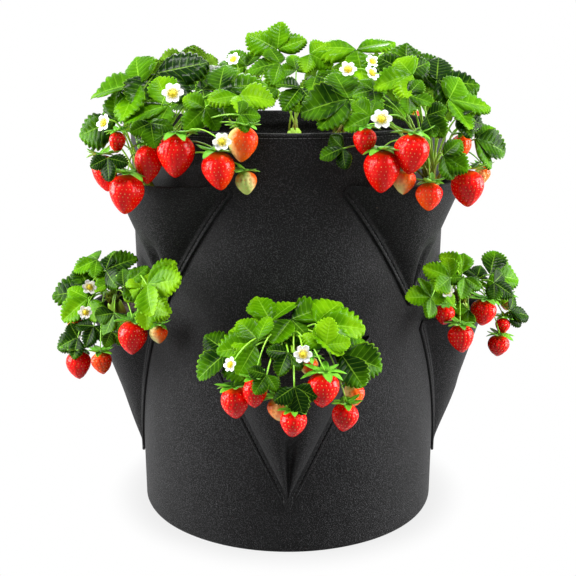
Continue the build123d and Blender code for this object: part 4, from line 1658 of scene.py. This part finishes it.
@dataclass(frozen=True)
class StrawberryPlant:
    """One plant with its root plug, seen from the front and then turned where it stands behind."""

    name: str
    growth: Growth
    crown: np.ndarray
    seat: np.ndarray
    axis: np.ndarray
    plug_radius: float
    plug_length: float
    turn: float
    finishes: Finishes
    seed: int
    plug_taper: float = PLUG_TAPER
    root_count: int = 18
    root_radius: float = 0.35
    crown_radius: float = 10.0
    crown_height: float = 18.0
    crown_foot: float = 3.0
    stem_radius: float = 1.05
    stem_inset: float = 2.6
    stem_bow: float = 0.14
    low_leaf_hang: float = 0.7
    leaflet_share: tuple[float, float, float] = (0.97, 0.83, 0.83)
    leaflet_droop: float = 7.0
    leaflet_roll: float = 24.0
    leaf_lift: float = 0.6
    flower_bow: float = 0.24
    flower_depth: float = 0.8
    stalk_arch: float = 22.0
    stalk_hang: float = 0.45
    stalk_share: float = 0.8
    fruit_gap: float = 0.4
    berry_slant: float = 7.0
    calyx_height: float = 3.0
    calyx_sepals: int = 9
    petals: int = 6
    anthers: int = 20
    flower_sepals: int = 5

    def places(self, rows: tuple[Any, ...]) -> np.ndarray:
        """Points of table rows in the bag's frame."""
        steps = np.array([(row.right, -row.forward, row.up) for row in rows], float)
        return self.crown + steps.reshape(-1, 3)

    def square_ways(self) -> tuple[np.ndarray, np.ndarray]:
        """Two directions square to the plant's axis and to each other."""
        first = unit(np.cross(np.array([0.0, 1.0, 0.0]), self.axis))
        return first, np.cross(self.axis, first)

    def stem_starts(self) -> np.ndarray:
        """Where the stems leave the crown, spread over its top by the golden angle.

        Returns:
            A point for each leaf, then for each berry and for each flower.
        """
        r, turn = spiral(sum(len(rows) for rows in self.growth))
        reach = (self.crown_radius - self.stem_inset) * r
        flat = reach[:, None] * around(turn[:, None], *self.square_ways())
        return self.seat + self.axis * (self.crown_height - self.stem_inset) + flat

    def leaf_blades(self) -> Surface:
        """All leaflets: each leaf's three, turned about its joint, which droop and roll from its plane.

        Returns:
            The leaflets, with the value leaf_place: along, aside and tone, a random tone plus painted
                shade that darkens low and inner leaves.
        """
        rng = np.random.default_rng(self.seed)
        leaves = self.growth.leaves
        face, bank, turn, size = columns(leaves, "face", "bank", "turn", "size")
        side = np.radians([(0.0, *leaf.sides) for leaf in leaves])[..., None]
        across, upwards, out = facing(face, bank)
        midrib = around(np.radians(turn)[:, None], upwards, across)
        crosswise = np.cross(out, midrib)
        along = around(side, midrib[:, None], -crosswise[:, None]).reshape(-1, 3)
        broad = around(side, crosswise[:, None], midrib[:, None]).reshape(-1, 3)
        out = np.repeat(out, 3, axis=0)
        droop = np.radians(rng.uniform(-1, 1, len(along)) * self.leaflet_droop)[:, None]
        reach, normal = around(droop, along, -out), around(droop, out, along)
        length = (size[:, None] * np.array(self.leaflet_share)).ravel()
        upper, under, where = LeafletForm().layers(length, rng)
        roll = np.radians(rng.uniform(-1, 1, len(along)) * self.leaflet_roll)[:, None]
        frame = np.stack([reach, around(roll, broad, normal), around(roll, normal, -broad)], 1)[:, None]
        joint = np.repeat(self.places(leaves) + self.leaf_lift * UP, 3, axis=0)[:, None, None]
        right, forward, high = columns(leaves, "right", "forward", "up")
        spread = np.hypot(right, forward)
        # Painted shade: high and outer leaves get a lighter tone, low and inner ones a darker; the random
        # part is real variation.
        tone = 0.3 * (high - high.min()) / max(np.ptp(high), 1) + 0.26 * spread / spread.max()
        tone = tone + rng.uniform(-0.2, 0.26, len(leaves))
        tone = np.repeat(tone, 3) + rng.uniform(-0.09, 0.09, len(length))
        third = np.broadcast_to(tone[:, None, None, None], (*where.shape[:3], 1))
        value = {"leaf_place": np.concatenate([where, third], -1)}
        return closed_sheets(joint + upper @ frame, joint + under @ frame, value)

    def stems(self) -> Surface:
        """Leaf, berry and flower stalks: parabolas in upright planes, round and thinning outwards.

        Returns:
            The stalks, with the value along.
        """
        growth = self.growth
        start = self.stem_starts()
        n, m = len(growth.leaves), len(growth.leaves) + len(growth.berries)
        (length,) = columns(growth.berries, "length")
        lift = 0.5 * length + self.fruit_gap + 0.5 * self.calyx_height
        out = facing(*columns(growth.flowers, "face", "bank"))[2]
        tops = self.places(growth.berries) + lift[:, None] * UP
        backs = self.places(growth.flowers) - self.flower_depth * out
        end = np.concatenate([self.places(growth.leaves), tops, backs])
        span = np.linalg.norm(end - start, axis=1)
        drop = np.maximum(0, start[:, 2] - end[:, 2])
        bow = self.stem_bow * span + self.low_leaf_hang * drop
        bow[n:m] = self.stalk_arch + self.stalk_hang * drop[n:m]
        bow[m:] = self.flower_bow * span[m:]
        s = np.linspace(0, 1, 15)[None, :, None]
        rise = 4 * bow[:, None, None] * s * (1 - s)
        paths = start[:, None] * (1 - s) + end[:, None] * s + rise * UP
        radii = self.stem_radius * (1.15 - 0.4 * s[..., 0]) * np.ones((len(end), 1))
        radii[n:] *= self.stalk_share
        level = (end - start) * np.array([1, 1, 0])
        return tubes(paths, radii, unit(np.cross(level, UP)))

    def crown_stub(self) -> Surface:
        """Short crown with clasping leaf bases, a lumpy upright body of rings.

        Returns:
            The crown, with the value along.
        """
        height = self.crown_height
        h = np.linspace(-self.crown_foot, height, 12)[:, None, None]
        angle = circle(36)[None, :, None]
        flare = 1.0 - 0.25 * ease(h, 0, height) + 0.09 * np.sin(9 * angle + h / 5)
        flare = flare * (1 - 0.35 * ease(h, height - 4, height))
        rings = self.seat + h * self.axis + self.crown_radius * flare * around(angle, *self.square_ways())
        along = np.broadcast_to(0.35 * h[..., 0] / height, rings.shape[:2])
        ends = self.seat + np.array([[-self.crown_foot], [height + 1]]) * self.axis
        return capped_rings(rings[None], ends[:1], ends[1:], {"along": along[None]})

    def berry_form(self, row: Berry, index: int) -> tuple[Surface, Surface]:
        """Flesh and seeds of one berry.

        The flesh is a body of revolution with slight lobes, sunk by a bell curve at each seed. The whole
        hangs a little aslant from its top.

        Args:
            row: The table row.
            index: Its number, which seeds its differences.

        Returns:
            The flesh with the value ripe, and the seeds.
        """
        rng = np.random.default_rng(1000 * self.seed + index)
        half = 0.5 * row.width
        share = 0.5 + 0.5 * np.cos(np.linspace(0.09, math.pi - 0.09, 36))[:, None]
        angle = circle(72)[None, :]
        phase = rng.uniform(0, 2 * math.pi, 2)

        def skin(s: np.ndarray, a: np.ndarray, grow: float | np.ndarray = 0.0) -> np.ndarray:
            """Finds points of the flesh.

            Args:
                s: Shares of the length from the top.
                a: Angles.
                grow: How much further out the flesh stands.

            Returns:
                The points, hanging from the origin.
            """
            lobes = 1 + 0.04 * np.sin(2 * a + phase[0]) + 0.024 * np.sin(3 * a + phase[1] + 4 * s)
            r = half * berry_side(s) * lobes + grow
            return np.stack([r * np.cos(a), r * np.sin(a), -s * row.length + 0 * a], -1)

        spot_share, spot_angle = seed_spots(row)
        spots = skin(spot_share, spot_angle)
        away = np.linalg.norm(skin(share, angle)[:, :, None] - spots, axis=-1).min(-1)
        flesh = skin(share, angle, 0.25 - 1.05 * bell(away, 0.0, 1.25))
        shoulder = 0.22 * bell(share, 0.0, 0.1)
        patch = 0.5 * (1 - row.ripe) * (np.sin(angle + phase[0]) + 0.5 - share)
        ripe = np.clip(0.86 * row.ripe + 0.02 - shoulder + patch, 0.0, 1)
        slant = np.radians(rng.uniform(-1, 1, 2) * self.berry_slant)
        (c0, c1), (s0, s1) = np.cos(slant), np.sin(slant)
        sideways = np.array([[c0, 0, -s0], [0, 1, 0], [s0, 0, c0]])
        lean = sideways @ np.array([[1, 0, 0], [0, c1, s1], [0, -s1, c1]])
        top = self.places((row,)) + 0.5 * row.length * UP
        ends = np.array([[0, 0, -row.length], [0, 0, -0.004 * row.length]]) @ lean + top
        body = capped_rings((flesh @ lean + top)[None], ends[:1], ends[1:], {"ripe": ripe[None]})
        before, after = skin(spot_share - 0.01, spot_angle), skin(spot_share + 0.01, spot_angle)
        down = unit(after - before)
        c, s = np.cos(spot_angle), np.sin(spot_angle)
        outward = unit(np.cross(down, np.stack([-s, c, 0 * c], -1)))
        radial = np.stack([c, s, 0 * c], -1)
        outward = outward * np.sign((outward * radial).sum(-1, keepdims=True) + 1e-9)
        grain = np.stack([down, np.cross(outward, down), outward], 1)
        six = circle(6)
        oval = np.stack([0.76 * np.cos(six), 0.46 * np.sin(six), 0 * six], -1)
        levels = np.array([[0.8, -0.8], [1.0, -0.42]])
        ring = oval * levels[:, :1, None] + levels[:, 1:, None] * UP
        middle = spots @ lean + top
        rings = middle[:, None, None] + (ring[None] @ grain[:, None]) @ lean
        poles = [middle + ((h * UP) @ grain) @ lean for h in (-1.05, 0.0)]
        return body, capped_rings(rings, *poles)

    def calyx(self) -> Surface:
        """Sepals on every berry, in a ring with different curls.

        Returns:
            The sepals of all berries.
        """
        rng = np.random.default_rng(self.seed + 77)
        rows, ring = self.growth.berries, self.calyx_sepals
        width, length = columns(rows, "width", "length")
        tops = self.places(rows) + (0.5 * length + 0.5)[:, None] * UP
        angle = circle(ring) + rng.uniform(-0.2, 0.2, (len(rows), ring))
        out = np.stack([np.cos(angle), np.sin(angle), 0 * angle], -1).reshape(-1, 3)
        size = np.repeat(0.5 * width + 4.0, ring) * rng.uniform(0.8, 1.2, len(out))
        curl = rng.uniform(-0.34, 0.4, len(out))
        root = np.repeat(tops, ring, axis=0) + 0.6 * out
        return sepals(root, np.broadcast_to(UP, out.shape), out, size, curl)

    def blossom(self) -> tuple[Surface, Surface]:
        """Petals and green sepals of every flower.

        With t along a petal, its half width is sin(pi (0.1 + 0.82 t)^0.85)^0.55, and it cups upwards
        along and across.

        Returns:
            Petals with the value along, and sepals.
        """
        rng = np.random.default_rng(self.seed + 31)
        rows, petals, green = self.growth.flowers, self.petals, self.flower_sepals
        face, bank, width = columns(rows, "face", "bank", "width")
        across, upwards, out = facing(face, bank)
        middle = self.places(rows)
        angle = circle(petals) + rng.uniform(-0.1, 0.1, (len(rows), petals))
        way = around(angle[..., None], across[:, None], upwards[:, None]).reshape(-1, 3)
        normal = np.repeat(out, petals, axis=0)
        t = np.linspace(0.0, 1.0, 10)[None, :, None]
        s = np.linspace(-1, 1, 9)[None, None, :]
        half = np.sin(math.pi * (0.1 + 0.82 * t) ** 0.85) ** 0.55
        size = np.repeat(width, petals)[:, None, None] * rng.uniform(0.94, 1.04, (len(way), 1, 1))
        cup = rng.uniform(0.05, 0.22, (len(way), 1, 1)) * t**2 + 0.08 * (half * s) ** 2 * t
        lift = cup + 0.03 * (np.arange(len(way)) % 2)[:, None, None] * t
        x, y, z = size * (0.08 + 0.41 * t + 0 * s), size * 0.19 * half * s, size * 0.5 * lift + 0.3
        frame = np.stack([way, np.cross(normal, way), normal], 1)[:, None]
        upper = np.repeat(middle, petals, axis=0)[:, None, None] + np.stack([x, y, z], -1) @ frame
        under = upper - 0.3 * normal[:, None, None]
        white = closed_sheets(upper, under, {"along": np.broadcast_to(t, x.shape)})
        five = (circle(green) + 0.5 * math.pi / green)[None, :, None]
        green_way = around(five, across[:, None], upwards[:, None]).reshape(-1, 3)
        back = np.repeat(out, green, axis=0)
        root = np.repeat(middle, green, axis=0) - 0.5 * back
        curl = rng.uniform(-0.1, 0.05, len(back))
        return white, sepals(root, back, green_way, np.repeat(0.46 * width, green), curl)

    def flower_eyes(self) -> Surface:
        """Domed eyes, each in a staggered ring of anthers on threads.

        Returns:
            The eyes and anthers of every flower.
        """
        rows = self.growth.flowers
        h = np.linspace(0, 0.98, 8)[:, None, None]
        turn = circle(28)[None, :, None]
        angle = circle(self.anthers)[:, None] + 0.1
        stagger = (0.19 + 0.035 * (np.arange(self.anthers) % 2))[:, None]
        domes, threads = [], []
        stands = zip(self.places(rows), *facing(*columns(rows, "face", "bank")), rows)
        for middle, across, upwards, out, row in stands:
            r = 0.15 * row.width * np.sqrt(1 - h**2) * (1 + 0.06 * np.sin(9 * turn + 14 * h))
            rings = middle + r * around(turn, across, upwards) + (0.8 + 0.13 * row.width * h) * out
            ends = middle + np.array([[0.5], [0.8 + 0.13 * row.width]]) * out
            domes.append(capped_rings(rings[None], ends[:1], ends[1:]))
            ring = stagger * row.width * around(angle, across, upwards)
            foot, spot = middle + 0.6 * ring + 0.4 * out, middle + ring + 0.085 * row.width * out
            tip = spot + 0.05 * row.width * out
            path = np.stack([foot, 0.4 * foot + 0.6 * spot, spot, tip], 1)
            thick = np.array([0.18, 0.18, 0.5, 0.42]) * row.width / 18
            threads.append(tubes(path, np.tile(thick, (len(path), 1)), np.cross(out, tip - foot), 6))
        return Surface.joined([Surface(part.points, part.faces, {}) for part in domes + threads])

    def rooted_soil(self) -> Surface:
        """Tapered plug of rooted soil, lumpy all round and rounded at its lower edge.

        Returns:
            The closed plug.
        """
        h = np.linspace(0, 1, 26)[:, None, None]
        base = self.seat - self.axis * self.plug_length
        middle = base + h * self.plug_length * self.axis
        way = around(circle(60)[None, :, None], *self.square_ways())
        radius = self.plug_radius - self.plug_taper * (1 - h)
        spot = middle + radius * way
        lumps = 0.55 * ripple(spot, 11, self.seed + 3) + 0.3 * ripple(spot, 5, self.seed + 4) - 0.5
        radius = radius + lumps[..., None] - (1 - ease(h, 0.0, 0.05))
        return capped_rings((middle + radius * way)[None], base[None], (self.seat - 0.2 * self.axis)[None])

    def roots(self) -> Surface:
        """Pale roots that wind down the plug: spirals with a slow wave.

        Returns:
            The roots.
        """
        rng = np.random.default_rng(self.seed + 5)
        each = (self.root_count, 1)
        t = np.linspace(0, 1, 14)[None, :]
        start = rng.uniform(0, 2 * math.pi, each)
        twist = rng.uniform(-1.4, 1.4, each)
        angle = start + twist * t + 0.25 * np.sin(2 * math.pi * (2 * t + rng.uniform(0, 1, each)))
        height = 0.9 - 0.86 * t * rng.uniform(0.7, 1.0, each)
        r = self.plug_radius - self.plug_taper * (1 - height) - 0.15
        way = around(angle[..., None], *self.square_ways())
        up = ((height - 1) * self.plug_length)[..., None] * self.axis
        paths = self.seat + up + r[..., None] * way
        return tubes(paths, np.full(paths.shape[:2], self.root_radius), way[:, 0], 5)

    def build(self) -> None:
        """Adds the plant's pieces on its own body."""
        body, name, f = f"{self.name}_plant", self.name, self.finishes

        def add(part: Surface, piece: str, finish: bpy.types.Material, slot: Slot, *nodes: str) -> None:
            """Adds one piece of the plant."""
            dress(part.turned(self.turn).piece(f"{name}_{piece}", finish), body, slot, *nodes)

        add(self.leaf_blades(), "leaf_blades", f.leaf, Slot.LEAF, f"{name}_leaves")
        add(Surface.joined([self.stems(), self.crown_stub()]), "stems", f.stem, Slot.LEAF)
        add(self.rooted_soil(), "rooted_soil", f.soil, Slot.SOIL, f"{name}_root_plug")
        add(self.roots(), "roots", f.root, Slot.SOIL)
        green = []
        if self.growth.berries:
            forms = [self.berry_form(row, k) for k, row in enumerate(self.growth.berries)]
            flesh, seeds = (Surface.joined(list(parts)) for parts in zip(*forms))
            add(flesh, "fruit", f.berry, Slot.BERRY, f"{name}_berries")
            add(seeds, "seeds", f.seed, Slot.BERRY)
            green.append(self.calyx())
        if self.growth.flowers:
            petals, flower_green = self.blossom()
            add(petals, "petals", f.petal, Slot.PETAL, f"{name}_flowers")
            add(self.flower_eyes(), "flower_eyes", f.eye, Slot.PETAL)
            green.append(flower_green)
        if green:
            add(Surface.joined(green), "sepals", f.calyx, Slot.LEAF)


# The whole planter


@dataclass(frozen=True)
class Planter:
    """The bag, its pockets, its soil and its plants."""

    sizes: BagSizes
    finishes: Finishes

    def pockets(self) -> list[Pocket]:
        """Every pocket by its row, its azimuth, and its crease's depth and place across.

        Returns:
            The pockets.
        """
        places = {
            "lower_front": (LOWER, 0.0, 11.0, 0.1),
            "lower_right": (LOWER, 85.0, -1.5, -0.15),
            "lower_back": (LOWER, 180.0, 8.0, -0.1),
            "lower_left": (LOWER, -85.0, -1.5, 0.15),
            "upper_front_left": (UPPER, -47.0, 9.0, 0.05),
            "upper_front_right": (UPPER, 47.0, 8.0, 0.1),
            "upper_back_right": (UPPER, 133.0, 6.0, 0.1),
            "upper_back_left": (UPPER, -133.0, 6.0, -0.1),
        }
        return [
            Pocket(name, row, azimuth, self.sizes, self.finishes, seed, crease, side)
            for seed, (name, (row, azimuth, crease, side)) in enumerate(places.items())
        ]

    def pocket_plant(
        self, pocket: Pocket, growth: Growth, seed: int, behind: bool = False
    ) -> StrawberryPlant:
        """Plants a pocket.

        Args:
            pocket: The pocket.
            growth: The plant's table.
            seed: Seed of its differences.
            behind: Whether the plant is laid out in front and then turned to a pocket behind.

        Returns:
            The plant.
        """
        turn = 180.0 if behind else 0.0
        row, angle = pocket.row, math.radians(pocket.azimuth + turn)
        outward = np.array([math.sin(angle), -math.cos(angle), 0.0])
        axis = outward * math.sin(LIFT_TILT) + UP * math.cos(LIFT_TILT)
        distance = self.sizes.radius(row.mouth) + row.reach - row.setback
        crown = outward * distance + UP * row.mouth
        seat = crown - axis * row.soil_drop
        plug = (row.plug_radius, row.plug_length)
        return StrawberryPlant(pocket.name, growth, crown, seat, axis, *plug, turn, self.finishes, seed)

    def plants(self) -> list[StrawberryPlant]:
        """Every plant in a pocket and in the bag's mouth, with seeds from 20, 40 and 60.

        Returns:
            The plants.
        """
        pockets = {pocket.name: pocket for pocket in self.pockets()}
        plants = [
            self.pocket_plant(pockets[name], growth, seed, behind)
            for first_seed, behind, growths in ((20, False, FRONT_PLANTS), (40, True, BACK_PLANTS))
            for seed, (name, growth) in enumerate(growths.items(), first_seed)
        ]
        level = self.sizes.height - self.sizes.soil_drop
        for seed, (name, (growth, x, y)) in enumerate(TOP_PLACES.items(), 60):
            seat = np.array([x, y, level])
            plants.append(
                StrawberryPlant(name, growth, seat, seat, UP, *TOP_PLUG, 0.0, self.finishes, seed)
            )
        return plants

    def build(self) -> None:
        """Adds every piece."""
        FeltBag(self.sizes, self.finishes).build()
        filling = [pocket.build() for pocket in self.pockets()]
        holes = tuple((x, y) for _, x, y in TOP_PLACES.values())
        BagSoil(self.sizes, self.finishes, holes).build(filling)
        for plant in self.plants():
            plant.build()



# Floor, light and camera


@dataclass(frozen=True)
class Lamp:
    """A soft oblong lamp that looks at the planter's middle."""

    name: str
    place: Place
    wide: float
    tall: float
    watts: float
    aim: Place = (0.0, 0.0, 0.28)

    def build(self) -> None:
        """Adds the lamp."""
        data = bpy.data.lights.new(self.name, "AREA")
        data.shape = "RECTANGLE"
        data.size, data.size_y = self.wide, self.tall
        data.energy = self.watts
        lamp = bpy.data.objects.new(self.name, data)
        lamp.location = self.place
        way = np.array(self.aim) - np.array(self.place)
        flat = math.hypot(way[0], way[1])
        lamp.rotation_euler = (math.atan2(flat, -way[2]), 0.0, math.atan2(-way[0], way[1]))
        bpy.context.scene.collection.objects.link(lamp)


@dataclass(frozen=True)
class Studio:
    """White surroundings, soft lamps and the camera at the photograph's angle."""

    sky: float = 0.03
    floor_half: float = 6.0
    floor_drop: float = 0.2
    camera_place: Place = (0.0, -1.146, 0.533)
    pitch_down: float = 13.79
    sensor_width: float = 36.0
    frame_pixels: float = 576.0
    focal_pixels: float = 988.0
    lamps: tuple[Lamp, ...] = (
        Lamp("left_lamp", (-1.45, -0.92, 1.7), 0.45, 0.45, 15.0),
        Lamp("right_lamp", (1.45, -0.92, 1.7), 0.45, 0.45, 14.0),
        Lamp("top_lamp", (0.0, -0.4, 2.3), 0.5, 0.5, 44.0),
        Lamp("back_lamp", (0.0, 1.7, 1.5), 1.0, 1.0, 20.0),
        Lamp("left_panel", (-1.38, -0.2, 0.6), 0.9, 1.1, 48.0),
        Lamp("right_panel", (1.38, -0.2, 0.6), 0.9, 1.1, 50.0),
    )

    def floor(self) -> None:
        """Adds the floor just below the base, which isn't part of the object."""
        h, low = self.floor_half / MM, -self.floor_drop
        corners = np.array([[-h, -h, low], [h, -h, low], [h, h, low], [-h, h, low]])
        Surface(corners, [np.array([[0, 1, 2, 3]])], {}).piece("floor", FloorFinish().material())

    def sky_light(self) -> None:
        """Adds an even white world that shows as pure white behind the object."""
        world = bpy.data.worlds.new("white_room")
        bpy.context.scene.world = world
        s = Shader(world)
        strength = self.sky + s.background_rays() * (1 - self.sky)
        s.show(s.node("ShaderNodeBackground", {}, {"Color": (1, 1, 1, 1), "Strength": strength}))

    def camera(self) -> None:
        """Adds the camera: its focal length follows from the frame's width in pixels."""
        data = bpy.data.cameras.new("camera")
        data.sensor_width = self.sensor_width
        data.lens = data.sensor_width * self.focal_pixels / self.frame_pixels
        camera = bpy.data.objects.new("camera", data)
        camera.location = self.camera_place
        camera.rotation_euler = (math.radians(90 - self.pitch_down), 0.0, 0.0)
        bpy.context.scene.collection.objects.link(camera)
        bpy.context.scene.camera = camera

    def build(self) -> None:
        """Adds floor, light and camera."""
        self.floor()
        self.sky_light()
        for lamp in self.lamps:
            lamp.build()
        self.camera()
        bpy.context.scene.view_settings.view_transform = "Standard"


def main() -> None:
    """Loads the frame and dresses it."""
    logging.basicConfig(level=logging.INFO, format="%(message)s")
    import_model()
    Planter(BagSizes(), Finishes()).build()
    Studio().build()


if __name__ == "__main__":
    main()
